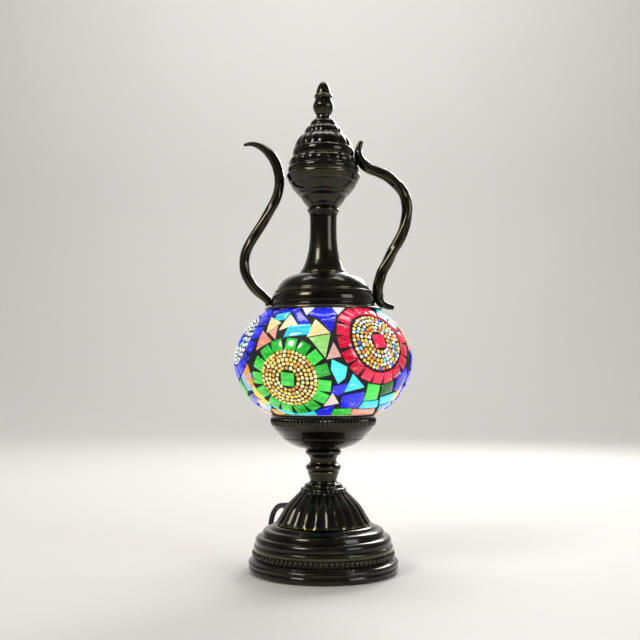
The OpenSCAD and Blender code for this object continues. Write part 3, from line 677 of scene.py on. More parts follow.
@dataclass(frozen=True)
class Sheath:
    """Moulded plastic or a smooth cord sheath, with a little dust and fine texture."""

    name: str
    body: Colour = (0.012, 0.012, 0.013)
    dust: Colour = (0.06, 0.058, 0.055)
    roughness: float = 0.38
    grain: float = 1400.0

    def make(self) -> bpy.types.Material:
        """Builds the material."""
        s = Shader(self.name)
        fine = s.noise(self.grain, 3, 0.6)
        cloud = s.noise(60, 4, 0.6)
        s.set("Base Color", s.mix(s.ramp(cloud, 0.5, 0.8) * 0.5, self.body, self.dust))
        s.set("Roughness", self.roughness + fine * 0.12 + cloud * 0.08)
        s.bump(fine, 0.18, 0.0002)
        return s.material


@dataclass(frozen=True)
class PlainMetal:
    """Plain machined or rolled metal: brass, zinc plate or nickel."""

    name: str
    body: Colour
    stain: Colour
    roughness: float = 0.28

    def make(self) -> bpy.types.Material:
        """Builds the material."""
        s = Shader(self.name)
        cloud = s.noise(90, 4, 0.6)
        fine = s.noise(1500, 2, 0.5)
        s.set("Base Color", s.mix(s.ramp(cloud, 0.45, 0.75) * 0.6, self.body, self.stain))
        s.set("Metallic", 1.0)
        s.set("Roughness", self.roughness + cloud * 0.14)
        s.bump(fine, 0.15, 0.0002)
        return s.material


@dataclass(frozen=True)
class ClearGlass:
    """Blown glass with faint waves."""

    name: str
    tint: Colour = (0.93, 0.97, 0.98)
    clear: float = 0.9
    roughness: float = 0.08
    glow: float = 0.0
    glow_tint: Colour = (1.0, 0.82, 0.55)

    def make(self) -> bpy.types.Material:
        """Builds the material."""
        s = Shader(self.name)
        wave = s.noise(45, 3, 0.5)
        s.set("Base Color", s.mix(s.ramp(wave, 0.4, 0.8) * 0.25, self.tint, (0.8, 0.9, 0.88)))
        s.set("Roughness", self.roughness + wave * 0.05)
        s.set("IOR", 1.5)
        s.set("Transmission Weight", self.clear)
        s.set("Emission Color", self.glow_tint)
        s.set("Emission Strength", self.glow)
        s.bump(wave, 0.15, 0.001)
        return s.material


class Finishes:
    """Every material of the lamp, made once."""

    def __init__(self) -> None:
        """Builds the materials."""
        self.cast = AgedMetal("aged_cast").make()
        self.spun = AgedMetal("aged_spun", roughness=0.14, relief=0.1).make()
        self.rope = AgedMetal(
            "aged_rope", body=(0.028, 0.024, 0.01), edge_wear_and_highlight=(0.15, 0.12, 0.05), roughness=0.17
        ).make()
        # Copy with dull edges for the rope band: painted shade for its recess
        self.band = AgedMetal("aged_band_shaded", edge_wear_and_highlight=(0.04, 0.034, 0.015), roughness=0.24).make()
        self.grout = Coarse("black_grout", (0.004, 0.004, 0.005), (0.02, 0.021, 0.026), 500, 0.62).make()
        self.plaster = Coarse("plaster", (0.62, 0.58, 0.5), (0.84, 0.81, 0.74), 400).make()
        self.felt = Coarse(
            "green_felt", (0.01, 0.03, 0.015), (0.03, 0.08, 0.045), 1800, 0.92, 0.8, 0.4
        ).make()
        self.strap = Coarse(
            "woven_strap", (0.006, 0.006, 0.007), (0.035, 0.035, 0.04), 2600, 0.85, 0.9
        ).make()
        self.board = Coarse("pressed_board", (0.2, 0.14, 0.08), (0.38, 0.28, 0.17), 900).make()
        self.porcelain = Coarse("porcelain", (0.8, 0.78, 0.72), (0.92, 0.9, 0.85), 120, 0.18, 0.08).make()
        self.sheath = Sheath("cord_sheath").make()
        self.moulded = Sheath("moulded_plastic", roughness=0.3).make()
        self.phenolic = Sheath("phenolic", (0.02, 0.016, 0.013), (0.07, 0.06, 0.05), 0.22).make()
        self.sleeve = Sheath("wire_sleeve", (0.72, 0.7, 0.6), (0.5, 0.48, 0.4), 0.5).make()
        self.brass = PlainMetal("plain_brass", (0.78, 0.58, 0.26), (0.4, 0.27, 0.12)).make()
        self.zinc = PlainMetal("zinc_plate", (0.62, 0.62, 0.6), (0.4, 0.4, 0.4)).make()
        self.nickel = PlainMetal("nickel_plate", (0.72, 0.7, 0.66), (0.5, 0.48, 0.44), 0.16).make()
        self.globe = ClearGlass("blown_glass", roughness=0.25, glow=0.12).make()
        self.bulb = ClearGlass("bulb_glass", (1.0, 0.99, 0.96), 0.95, 0.02).make()
        self.filament = ClearGlass("lit_filament", (1.0, 0.9, 0.7), 0.0, 0.3, 6.0).make()


# ---------------------------------------------------------------- dressing


def dress(
    piece: bpy.types.Object,
    material: bpy.types.Material,
    body: Body,
    slot: str,
    *replaced: str,
) -> bpy.types.Object:
    """Gives a new piece its material and its body, and hides the CAD nodes that it stands for.

    Args:
        piece: the finished piece.
        material: its material.
        body: the body it rides on.
        slot: the record's material slot; not used.
        *replaced: names of the CAD nodes that it replaces.

    Returns:
        The piece.
    """
    piece.data.materials.clear()
    piece.data.materials.append(material)
    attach(piece, body.value)
    if replaced:
        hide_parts(*replaced)
    count = len(piece.data.polygons) if piece.type == "MESH" else 0
    log.info("%s: %d faces on %s", piece.name, count, body.value)
    return piece


def paint_node(node: str, material: bpy.types.Material) -> None:
    """Gives a CAD node that stays in view its material.

    Args:
        node: the node's name.
        material: the material.
    """
    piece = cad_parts[node]
    if not piece.data.materials:
        piece.data.materials.append(material)
    for slot in piece.material_slots:
        slot.material = material
    log.info("%s: CAD node painted", node)


# ---------------------------------------------------------------- view


@dataclass
class Studio:
    """The floor, the lights and the camera."""

    distance: float = 850
    eye_height: float = 175
    side: float = -3
    pitch: float = 3.19
    lens: float = 53.2
    # The floor and the backdrop, in metres
    floor_size: float = 8
    floor_y: float = -2.2
    sweep_radius: float = 0.9
    sweep_steps: int = 14
    wall_height: float = 3

    def build_camera(self) -> None:
        """Adds the camera at eye height, tipped up a little."""
        deselect_all()
        bpy.ops.object.camera_add(
            location=(self.side * MM, -self.distance * MM, self.eye_height * MM),
            rotation=(math.radians(90 + self.pitch), 0, 0),
        )
        camera = bpy.context.object
        camera.name = "camera"
        camera.data.lens = self.lens
        camera.data.sensor_width = 36
        camera.data.clip_start = 0.01
        bpy.context.scene.camera = camera

    def build_floor(self) -> None:
        """Adds the pale floor that curves up behind."""
        deselect_all()
        bpy.ops.mesh.primitive_plane_add(size=self.floor_size, location=(0, self.floor_y, 0))
        floor = bpy.context.object
        floor.name = "floor"
        bpy.ops.object.transform_apply(location=True)
        editing(floor)
        pick_verts(floor, lambda co: co.y > 0)
        radius, steps = self.sweep_radius, self.sweep_steps
        for i in range(steps):
            a, b = math.pi / 2 * i / steps, math.pi / 2 * (i + 1) / steps
            step = (0, radius * (math.sin(b) - math.sin(a)), radius * (math.cos(a) - math.cos(b)))
            bpy.ops.mesh.extrude_region_move(TRANSFORM_OT_translate={"value": step})
        bpy.ops.mesh.extrude_region_move(TRANSFORM_OT_translate={"value": (0, 0, self.wall_height)})
        done_editing()
        smooth(floor, 60)
        shader = Shader("pale_floor")
        cloud = shader.noise(3, 3, 0.5)
        shader.set("Base Color", shader.mix(cloud * 0.5, (0.74, 0.73, 0.71), (0.8, 0.79, 0.77)))
        shader.set("Roughness", 0.62)
        floor.data.materials.append(shader.material)

    def build_lights(self) -> None:
        """Adds a soft key, a fill, a rim light, a light on the backdrop and a pale sky."""
        rows = (
            ("key", (-0.9, -0.9, 1.15), (0, 0, 0.2), 0.5, 11.0, (1.0, 0.96, 0.9)),
            ("fill", (1.1, -0.8, 0.6), (0, 0, 0.2), 0.6, 5.0, (0.92, 0.96, 1.0)),
            ("rim", (0.5, 1.1, 0.9), (0, 0, 0.2), 0.5, 9.0, (1.0, 0.98, 0.95)),
            ("wall", (0, 0.7, 2.4), (0, 2.5, 0.7), 1.8, 46.0, (1.0, 0.99, 0.97)),
        )
        for name, place, target, size, power, colour in rows:
            deselect_all()
            way = Vector(target) - Vector(place)
            bpy.ops.object.light_add(
                type="AREA", location=place, rotation=way.to_track_quat("-Z", "Y").to_euler()
            )
            light = bpy.context.object
            light.name = name
            light.data.size = size
            light.data.energy = power
            light.data.color = colour
        world = bpy.data.worlds.new("studio")
        world.use_nodes = True
        sky = world.node_tree.nodes["Background"]
        sky.inputs["Color"].default_value = (0.86, 0.89, 0.93, 1)
        sky.inputs["Strength"].default_value = 0.75
        bpy.context.scene.world = world
        bpy.context.scene.view_settings.view_transform = "Standard"


# ---------------------------------------------------------------- cord


@dataclass
class Cord:
    """The mains flex: from the cone to the switch, on to the coil, and up into the plug."""

    radius: float = 2.5
    length: float = 1790
    turns: float = 8.102
    first_turn: float = 33.3
    turn_radii: tuple[float, ...] = (34.0, 29.0, 24.0)
    coil_middle: Point = (4, 151)
    layer_low: float = 3.3
    layer_step: float = 5.0
    crossing: float = 0.3
    # From the strain relief down to the table and through the switch
    lead: tuple[Point3, ...] = (
        (-36, 48, 50), (-39.2, 52.3, 49.8), (-42.8, 57, 47.9), (-46.1, 61.5, 43.9), (-48.6, 64.8, 38),
        (-50, 66.8, 31), (-50.5, 68.2, 23.8), (-50, 71.2, 16.8), (-48.6, 76, 10.6), (-46.2, 82, 6),
        (-43, 88.4, 3.4), (-38.8, 94.2, 2.6), (-33.4, 98.6, 2.5), (-27, 101.2, 2.5), (-19, 102, 2.5),
        (-10, 102, 2.5), (8, 102, 2.5), (26, 102, 2.5),
    )
    # From the switch round to the coil's first turn
    link: tuple[Point3, ...] = (
        (35, 102, 2.5), (40, 102.3, 2.5), (46.4, 104.1, 2.5), (52, 108.1, 2.5), (56, 113.6, 2.5),
        (58.1, 120, 2.5), (58.2, 126.8, 2.6), (56.2, 133.6, 2.7), (52.8, 139.8, 2.8), (48.8, 145.8, 3),
        (44.6, 152, 3.2), (40.2, 158.6, 3.3),
    )
    # From the coil's last turn up into the plug
    tail: tuple[Point3, ...] = (
        (6.6, 174.9, 13.6), (0.9, 174.8, 14.4), (-4.7, 173.4, 15.8), (-9.9, 170.6, 17.8),
        (-14.2, 166.7, 19.7), (-17.4, 161.9, 21.2), (-19.3, 156.6, 22.3), (-20, 151, 22.6),
    )

    def seat(self, turn: int) -> tuple[int, int]:
        """Where a turn of the coil lies; every other layer is wound from outside in.

        Args:
            turn: the turn's number, from 0.

        Returns:
            Its layer and its lane.
        """
        lanes = len(self.turn_radii)
        layer, lane = divmod(min(turn, int(self.turns)), lanes)
        return layer, lane if layer % 2 == 0 else lanes - 1 - lane

    def coil_turns(self) -> list[Point3]:
        """The coil's centreline: turn beside turn, layer on layer.

        Returns:
            The points, 24 to a turn.
        """
        per_turn = 24
        rows = []
        for i in range(int(self.turns * per_turn) + 1):
            t = i / per_turn
            whole = int(t)
            layer, lane = self.seat(whole)
            next_layer, next_lane = self.seat(whole + 1)
            ease = max(0.0, (t - whole - (1 - self.crossing)) / self.crossing)
            ease = ease * ease * (3 - 2 * ease)
            r = self.turn_radii[lane] + (self.turn_radii[next_lane] - self.turn_radii[lane]) * ease
            z = self.layer_low + self.layer_step * (layer + (next_layer - layer) * ease)
            a = math.radians(self.first_turn) + math.tau * t
            rows.append(
                (self.coil_middle[0] + r * math.cos(a), self.coil_middle[1] + r * math.sin(a), z)
            )
        return rows

    def route(self) -> list[Vector]:
        """The whole centreline in metres."""
        rows = [*self.lead, *self.link, *self.coil_turns(), *self.tail]
        return [Vector(p) * MM for p in rows]

    def build(self, finishes: Finishes, pieces: Sequence[bpy.types.Object]) -> None:
        """Args:
            finishes: the materials.
            pieces: the pieces on the cord; not used.
        """
        route = self.route()
        curve = bpy.data.curves.new("flex", "CURVE")
        curve.dimensions = "3D"
        curve.bevel_depth = self.radius * MM
        curve.bevel_resolution = 3
        curve.use_fill_caps = True
        curve.resolution_u = 3
        spline = curve.splines.new("BEZIER")
        spline.bezier_points.add(len(route) - 1)
        for knot, place in zip(spline.bezier_points, route):
            knot.co = place
            knot.handle_left_type = knot.handle_right_type = "AUTO"
        flex = bpy.data.objects.new("flex", curve)
        bpy.context.collection.objects.link(flex)
        total = sum((b - a).length for a, b in zip(route, route[1:]))
        log.info("flex: %.3f m along its points", total)
        dress(
            flex, finishes.sheath, Body.ROOT, "flex_pvc", "cord_lead", "cord_link", "cord_coil", "cord_tail"
        )
        2 * self.radius * MM


# ---------------------------------------------------------------- metal


@dataclass
class MetalStack:
    """The turned and cast metal from the foot to the finial."""

    finishes: Finishes
    flutes: int = 22
    foot_beads: int = 88
    rope_bead: Point3 = (1.35, 1.9, 2.85)
    rope_lean: float = 25
    bowl_flutes: int = 82
    lid_lobes: int = 16

    def finish(
        self, piece: bpy.types.Object, body: Body, slot: str, *replaced: str, cast: bool = True
    ) -> bpy.types.Object:
        """Shades a metal piece, marks its edges for wear and a painted highlight, and dresses it.

        Args:
            piece: the piece.
            body: its body.
            slot: its material slot.
            *replaced: the CAD nodes it stands for.
            cast: cast metal if true, spun metal if not.

        Returns:
            The piece.
        """
        smooth(piece, 40)
        mark_wear_and_highlight(piece)
        return dress(piece, self.finishes.cast if cast else self.finishes.spun, body, slot, *replaced)

    def ring_of(
        self, master: bpy.types.Object, count: int, radius: float, height: float, name: str
    ) -> bpy.types.Object:
        """Copies a piece round a ring.

        Args:
            master: the modelled piece, at the origin with +X outwards; it is removed.
            count: number of copies.
            radius: radius of the ring in metres.
            height: height of the ring in metres.
            name: name of the joined piece.

        Returns:
            The ring.
        """
        parts = []
        for i in range(count):
            turn = Matrix.Rotation(math.tau * (i + 0.5) / count, 4, "Z")
            parts.append(copy_of(master, turn @ Matrix.Translation((radius, 0, height))))
        remove(master)
        return joined(parts, name)

    def bead(self, name: str, size: Point3, lean: float = 0.0) -> bpy.types.Object:
        """Models one long bead of a rope band.

        Args:
            name: its name.
            size: half-sizes along X, Y and Z in metres.
            lean: how far it leans from upright, in degrees.

        Returns:
            The bead, at the origin.
        """
        deselect_all()
        bpy.ops.mesh.primitive_uv_sphere_add(segments=10, ring_count=7, radius=1)
        bead = bpy.context.object
        bead.name = name
        bpy.ops.object.mode_set(mode="EDIT")
        bpy.ops.mesh.select_all(action="SELECT")
        bpy.ops.transform.resize(value=size)
        bpy.ops.transform.rotate(value=math.radians(lean), orient_axis="X", center_override=(0, 0, 0))
        done_editing()
        return bead

    def build_foot(self) -> None:
        """The stepped foot and the rope band round it."""
        outline = [
            *swell((64.6, 0.6), (65.4, 6.2), 1.2), *swell((65.7, 6.7), (65.1, 10.8), 1.1),
            (64, 11.2), (63.2, 11.9), (62.6, 12.3), (62, 13.2), (61.4, 13.6), (61.2, 18.8),
            (61.8, 19.2), (62, 19.8), (61.7, 22.8), (61.4, 23.5), (60.5, 24),
            (60.3, 25.2), *swell((60.3, 25.8), (55.3, 32.1), 1.9), (54.7, 32.2),
            *swell((54.5, 32.8), (48.3, 37.9), 1.9), (47.6, 37.9), (47.3, 38.3),
            *swell((46.9, 38.5), (41.5, 41), 1.1), (36, 41), (36, 39), (44, 37), (52, 31),
            (58, 22), (60.4, 5), (60.4, 0.6), (64.6, 0.6),
        ]
        low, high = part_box("foot")
        k = (high[1] - low[1]) / 2 / 66.2
        foot = turned("foot_casting", [(r * k, z * MM) for r, z in outline], 128)
        self.finish(foot, Body.ROOT, "antique_metal", "foot")
        size = tuple(half * MM for half in self.rope_bead)
        bead = self.bead("rope_bead", size, self.rope_lean)
        band = self.ring_of(bead, self.foot_beads, 61.9 * k, 16.2 * MM, "foot_rope_band")
        smooth(band, 40)
        mark_wear_and_highlight(band)
        # The band's material paints the shade of its recess
        dress(band, self.finishes.band, Body.ROOT, "antique_metal")

    def build_cone(self) -> None:
        """The fluted cone with its two beaded tiers."""
        outline = [
            (39.4, 0.3), (41.4, 0), (41.9, 0.9), (41.7, 2.2), (41.0, 3.4), (39.6, 5.6), (37.9, 8.3),
            (36.4, 11), (34.8, 13.7), (32.9, 16.4), (30.6, 19.1), (27.9, 21.8), (25.2, 24.5),
            (22.8, 26.8), (21.3, 28.2), (20.7, 29), *swell((20.5, 29.4), (17.8, 32.4), 1.1),
            (17.2, 32.5), *swell((17, 33), (13.5, 36.2), 1.1), (12.8, 36.5), (5.3, 36.5), (5.3, 31),
            (16, 28), (30, 16), (39.4, 0.3),
        ]
        cone = turned("cone_casting", fitted(outline, "fluted_cone"), self.flutes * 6)
        z0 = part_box("fluted_cone")[0][2]
        press_columns(
            cone, self.flutes, (1.0, 0.995, 0.975, 0.945, 0.975, 0.995),
            z0 + 1.2 * MM, z0 + 28.6 * MM, 20 * MM,
        )
        press_columns(
            cone, self.flutes, (1.0, 0.994, 0.985, 0.975, 0.985, 0.994),
            z0 + 29.2 * MM, z0 + 36.3 * MM, 13 * MM,
        )
        self.finish(cone, Body.ROOT, "antique_metal", "fluted_cone")

    def build_stem(self) -> None:
        """The three turned pieces between cone and bowl."""
        rows = {
            "stem_lower": [
                (5.3, 0), (13, 0), (12.9, 0.4), (12.2, 0.9), (11.9, 1.6), (12, 2.6), (12.4, 4),
                (12.9, 5.6), (13.5, 7.2), (13.9, 8.4), (14.1, 9.2), (13.9, 9.8), (5.3, 9.8), (5.3, 0),
            ],
            "stem_knop": [
                (5.3, 0), (13.8, 0), (13.7, 0.3), *swell((13.8, 0.5), (12.8, 7), 2.3, 14), (12.3, 7.4),
                (12, 8.2), (5.3, 8.2), (5.3, 0),
            ],
            "stem_upper": [
                (5.3, 0), (12, 0), (11.9, 1), (11.9, 2.4), (12.1, 3.6), (12.6, 4.8), (13.5, 5.8),
                (14.6, 6.6), (15.1, 7), *swell((15.3, 7.3), (15.3, 10.8), 0.8), (14.6, 11.2),
                (14.4, 11.5), (5.3, 11.5), (5.3, 0),
            ],
        }
        for node, outline in rows.items():
            piece = turned(f"{node}_turning", fitted(outline, node), 64)
            self.finish(piece, Body.ROOT, "cast_metal", node)

    def build_bowl(self) -> None:
        """The bowl that carries the globe, with its band of short flutes."""
        outline = [
            (5.3, 0), (14, 0), (18, 0.6), (22, 1.7), (25.4, 2.9), (28.4, 4.4), (30.8, 5.7),
            (32.9, 7.1), (34.8, 8.5), (36.2, 9.7), (36.5, 10.3), (36.6, 10.7), (37.4, 11.1),
            (38.2, 11.8), (39.8, 13.4), (41.4, 15.2), (42.8, 16.5), (44.1, 17.9), (45, 19.2),
            (45.7, 20.6), (46.3, 21.6), (46.6, 22.2), (46.9, 23.2), (47.1, 24.2), (47.2, 25.2),
            (47.2, 26.2), (47, 27.2), (46.7, 27.8), (46.3, 28.2), (45.9, 28.5),
            *swell((45.8, 28.9), (45.6, 31.4), 0.7), (43.6, 31.4), (43.6, 26), (42, 21.6),
            (37.4, 16.6), (30.8, 10.4), (16, 3.4), (5.3, 3.4), (5.3, 0),
        ]
        bowl = turned("bowl_casting", fitted(outline, "globe_bowl"), self.bowl_flutes * 4)
        z0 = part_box("globe_bowl")[0][2]
        press_columns(
            bowl, self.bowl_flutes, (1.0, 0.992, 0.982, 0.992),
            z0 + 22.0 * MM, z0 + 27.9 * MM, 45.2 * MM, twist=1.5,
        )
        self.finish(bowl, Body.ROOT, "antique_metal", "globe_bowl")

    def build_cap(self) -> None:
        """The flange, band and dome that close the globe."""
        band = [
            (47, 0), (52.2, 0), (52.9, 0.5), (53, 1.2), (52.8, 1.9), (52, 2.6), (50, 3.1),
            (47.4, 3.8), (46.5, 4.4), (46.1, 5.4), *swell((46, 6), (44.7, 15.4), 1.1), (44, 15.5),
            (43.7, 16), *swell((43.5, 16.3), (42.7, 18.3), 0.8), (42.2, 18.6), (38, 18.6),
            (38, 17), (42.4, 15), (43, 4), (47, 1.4), (47, 0),
        ]
        piece = turned("cap_band_spinning", fitted(band, "cap_band"), 112)
        self.finish(piece, Body.TOP, "antique_metal", "cap_band", cast=False)
        dome = [
            (38.5, 0), (42, 0), (42.1, 0.3), (42, 0.8), *swell((41.8, 1.2), (23.4, 14.4), 3.2, 18),
            (22.8, 14.8), (22.2, 15.4), (22, 15.7), (3.4, 15.7), (3.4, 13.4), (19.5, 13.4), (26, 12),
            (33.6, 7), (38.5, 0),
        ]
        piece = turned("cap_dome_spinning", fitted(dome, "cap_dome"), 112)
        self.finish(piece, Body.TOP, "antique_metal", "cap_dome", cast=False)

    def build_neck(self) -> None:
        """The waisted neck with its foot ring and its top ring."""
        outline = [
            (3.4, 0), (20.8, 0), (21, 0.5), (20.8, 1.2), (20.1, 2.2), (19.3, 3.4), (18.5, 4.8),
            (17.8, 6.2), (17.2, 7.8), (16.6, 9.4), (15.9, 11.2), (15.3, 13), (14.5, 16), (13.8, 19),
            (13.2, 22.4), (12.8, 26), (12.4, 30), (12.2, 35), (12.1, 42), (12.1, 48), (12.3, 52),
            (12.8, 54.2), *swell((13.4, 54.8), (13.4, 59), 1.1), (12.9, 59.5), (3.4, 59.5), (3.4, 0),
        ]
        piece = turned("neck_turning", fitted(outline, "neck"), 72)
        self.finish(piece, Body.TOP, "cast_metal", "neck")

    def build_collar(self) -> None:
        """The stepped funnel collar on the neck."""
        outline = [
            (3.4, 0), (13.6, 0), (14.2, 0.5), (14.8, 1.2), *swell((15.4, 2.2), (20.4, 9.8), 0.5, 10),
            (20.7, 10.1), (21.5, 10.4), *swell((21.8, 10.8), (24.2, 13.6), 0.3, 4), (24.4, 13.9),
            (25.2, 14.2), *swell((25.5, 14.6), (30, 21.8), 0.5, 10), (30.2, 22.2), (31, 22.6),
            (32, 25), (32.5, 26.6), (33, 27.4), (33.4, 28), (33.5, 28.7), (33.4, 29.5), (33, 30.2),
            (32.2, 31), (30.5, 31), (30.4, 28), (26, 21), (19, 14), (12, 4), (3.4, 4), (3.4, 0),
        ]
        piece = turned("collar_spinning", fitted(outline, "funnel_collar"), 96)
        self.finish(piece, Body.TOP, "antique_metal", "funnel_collar", cast=False)

    def build_lid(self) -> None:
        """The lobed drum and the tiered dome of the lid."""
        drum = [
            (29.4, 0), (32.2, 0), (32.3, 0.6), *swell((31.8, 1), (31.2, 6.4), 0.9), (30.6, 6.8),
            *swell((30.8, 7.3), (28.6, 14.4), 1.4, 10), (27.8, 14.8), (27.4, 15.2), (3.4, 15.2),
            (3.4, 13.6), (25.6, 13.6), (29, 6), (29.4, 0),
        ]
        count = self.lid_lobes
        piece = turned("lid_drum_spinning", fitted(drum, "lid_drum"), count * 8)
        z0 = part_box("lid_drum")[0][2]
        lobes = (1.0, 0.997, 0.99, 0.98, 0.966, 0.98, 0.99, 0.997)
        press_columns(piece, count, lobes, z0 + 7 * MM, z0 + 14.6 * MM, 27.9 * MM)
        self.finish(piece, Body.TOP, "antique_metal", "lid_drum", cast=False)
        dome = [
            (25.4, 0), (27.4, 0), (27.6, 0.5), *swell((27.8, 1.4), (27.3, 7.4), 0.6), (26.7, 7.8),
            *swell((26.6, 8.6), (18.6, 20.4), 1.9, 12), (18, 20.6), *swell((17.6, 21.2), (13.5, 28.2), 1.2),
            (12.8, 28.4), *swell((12.4, 28.9), (8.3, 34.8), 1), (7.4, 35.2), (6.8, 35.8), (6.6, 37.1),
            (3.4, 37.1), (3.4, 29), (14, 21), (22.6, 10), (25.4, 0),
        ]
        piece = turned("lid_dome_spinning", fitted(dome, "lid_dome"), count * 8)
        z0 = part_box("lid_dome")[0][2]
        press_columns(piece, count, lobes, z0 + 8.4 * MM, z0 + 20.5 * MM, 18 * MM)
        press_columns(piece, count, lobes, z0 + 21 * MM, z0 + 28.3 * MM, 13 * MM)
        self.finish(piece, Body.TOP, "antique_metal", "lid_dome", cast=False)

    def build_finial(self) -> None:
        """The finial: a bulb, a waist, a ring and an egg."""
        outline = [
            (3.2, 0), (6.4, 0), (6.3, 0.8), (6.4, 1.8), (7.1, 3.2), (8.2, 5), (9, 7), (9.4, 8.8),
            (9.5, 10), (9.3, 11.4), (8.8, 12.8), (8.1, 14.4), (7.5, 16), (7.2, 17.4), (7.5, 17.9),
            (8.1, 18.4), (8.4, 19.2), (8.2, 20), (7.4, 20.7), (6.8, 21.1), (6.6, 21.8), (6.5, 23),
            (6.1, 25), (5.5, 26.8), (4.8, 28.6), (4, 30.2), (3, 31.6), (1.7, 32.7), (0.8, 33.1),
            (0, 33.2),
        ]
        piece = turned("finial_turning", fitted(outline, "finial"), 48)
        self.finish(piece, Body.TOP, "cast_metal", "finial")

    def build(self) -> None:
        """Builds every piece of the stack."""
        self.build_foot()
        self.build_cone()
        self.build_stem()
        self.build_bowl()
        self.build_cap()
        self.build_neck()
        self.build_collar()
        self.build_lid()
        self.build_finial()


# Where the handle and the spout are held, as shares of the CAD nodes' radii and of the lid's height
SKIRT_SHARE = 46 / 53
LID_SHARE = 27.7 / 27.86
LID_HOLD = 22 / 52.3
SCREW_HEIGHT = 10 * MM


def beside(x: float, share: float) -> Vector:
    """A point beside the lift-off top, in metres.

    Args:
        x: how far it stands out from the skirt's or the lid's side, in millimetres.
        share: share of the way up from the skirt's screw to the lid.

    Returns:
        The point.
    """
    band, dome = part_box("cap_band"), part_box("lid_dome")
    skirt_r = (band[1][0] - band[0][0]) / 2 * SKIRT_SHARE
    lid_r = (dome[1][0] - dome[0][0]) / 2 * LID_SHARE
    low = band[0][2] + SCREW_HEIGHT
    lid_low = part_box("lid_drum")[0][2]
    high = lid_low + (dome[1][2] - lid_low) * LID_HOLD
    return Vector((skirt_r + (lid_r - skirt_r) * share + x * MM, 0, low + (high - low) * share))


@dataclass
class RopeBar:
    """A bar of twisted strands that follows a route, such as the handle or the spout."""

    name: str
    node: str
    route: Sequence[Point]
    radius: float
    taper: Callable[[int, int], float]
    side: int
    strands: int
    groove: float
    pitch: float
    finishes: Finishes = field(repr=False)

    def profile(self) -> bpy.types.Object:
        """The section of the bar: round lobes, one for each strand.

        Returns:
            A closed curve of radius 1 mm.
        """
        deselect_all()
        count = self.strands * 8
        bpy.ops.curve.primitive_nurbs_circle_add(radius=MM)
        loop = bpy.context.object
        loop.name = f"{self.name}_section"
        loop.data.splines.clear()
        spline = loop.data.splines.new("POLY")
        spline.points.add(count - 1)
        for i, point in enumerate(spline.points):
            a = math.tau * i / count
            r = MM * (1 - self.groove * (1 - abs(math.cos(a * self.strands / 2))))
            point.co = (r * math.cos(a), r * math.sin(a), 0, 1)
        spline.use_cyclic_u = True
        return loop

    def build(self) -> bpy.types.Object:
        """Sweeps the section along the route, turning as it goes.

        Returns:
            The bar.
        """
        loop = self.profile()
        knots = [beside(x, v) for x, v in self.route]
        count = len(knots)
        curve = bpy.data.curves.new(self.name, "CURVE")
        curve.dimensions = "3D"
        curve.twist_mode = "MINIMUM"
        curve.bevel_mode = "OBJECT"
        curve.bevel_object = loop
        curve.use_fill_caps = True
        curve.resolution_u = 12
        spline = curve.splines.new("BEZIER")
        spline.bezier_points.add(count - 1)
        turn = 0.0
        for i, (knot, place) in enumerate(zip(spline.bezier_points, knots)):
            if i:
                turn += (place - knots[i - 1]).length / MM / self.pitch * math.tau
            knot.co = (place.x * self.side, place.y, place.z)
            knot.handle_left_type = knot.handle_right_type = "AUTO"
            knot.tilt = turn
            knot.radius = self.radius * self.taper(i, count)
        bar = bpy.data.objects.new(self.name, curve)
        bpy.context.collection.objects.link(bar)
        make_active(bar)
        bpy.ops.object.convert(target="MESH")
        bar = bpy.context.object
        remove(loop)
        editing(bar)
        bpy.ops.mesh.select_all(action="SELECT")
        bpy.ops.mesh.remove_doubles(threshold=1e-6)
        bpy.ops.mesh.normals_make_consistent(inside=False)
        done_editing()
        smooth(bar, 50)
        mark_wear_and_highlight(bar)
        return dress(bar, self.finishes.rope, Body.TOP, "rope_metal", self.node)


HANDLE_ROUTE: tuple[Point, ...] = (
    (16.6, -0.05), (9.8, -0.038), (4.8, -0.012), (4.1, 0.035), (5.2, 0.09), (7.5, 0.137),
    (10.4, 0.188), (16.4, 0.253), (23, 0.326), (29.7, 0.398), (35.1, 0.47), (38.6, 0.53),
    (40.6, 0.58), (41.2, 0.63), (40.4, 0.686), (37.6, 0.74), (32.6, 0.79), (25.6, 0.832),
    (18.4, 0.855), (11.4, 0.876), (6.4, 0.918), (3.9, 0.958), (4.2, 1.0), (7.9, 1.06),
)
SPOUT_ROUTE: tuple[Point, ...] = (
    (2.2, -0.038), (3.4, -0.009), (7.8, 0.02), (12.9, 0.049), (18.2, 0.086), (23, 0.129),
    (27, 0.173), (29.6, 0.228), (30.3, 0.282), (29.1, 0.333), (25.7, 0.398), (21.5, 0.464),
    (17.3, 0.529), (13.1, 0.595), (9.7, 0.66), (8.2, 0.725), (8.6, 0.805), (11.2, 0.871),
    (14.9, 0.922), (19.8, 0.967), (26, 1.007), (33, 1.034), (39.2, 1.042), (45.4, 1.033),
)


# ---------------------------------------------------------------- mosaic


class Glass(Enum):
    """The colours of sheet glass."""

    GREEN = "green"
    DARK_GREEN = "dark_green"
    RED = "red"
    COBALT = "cobalt"
    CYAN = "cyan"
    SKY = "sky"
    CREAM = "cream"
    WHITE = "white"
    SALMON = "salmon"
    PINK = "pink"
    LIME = "lime"
    ORANGE = "orange"
    YELLOW = "yellow"


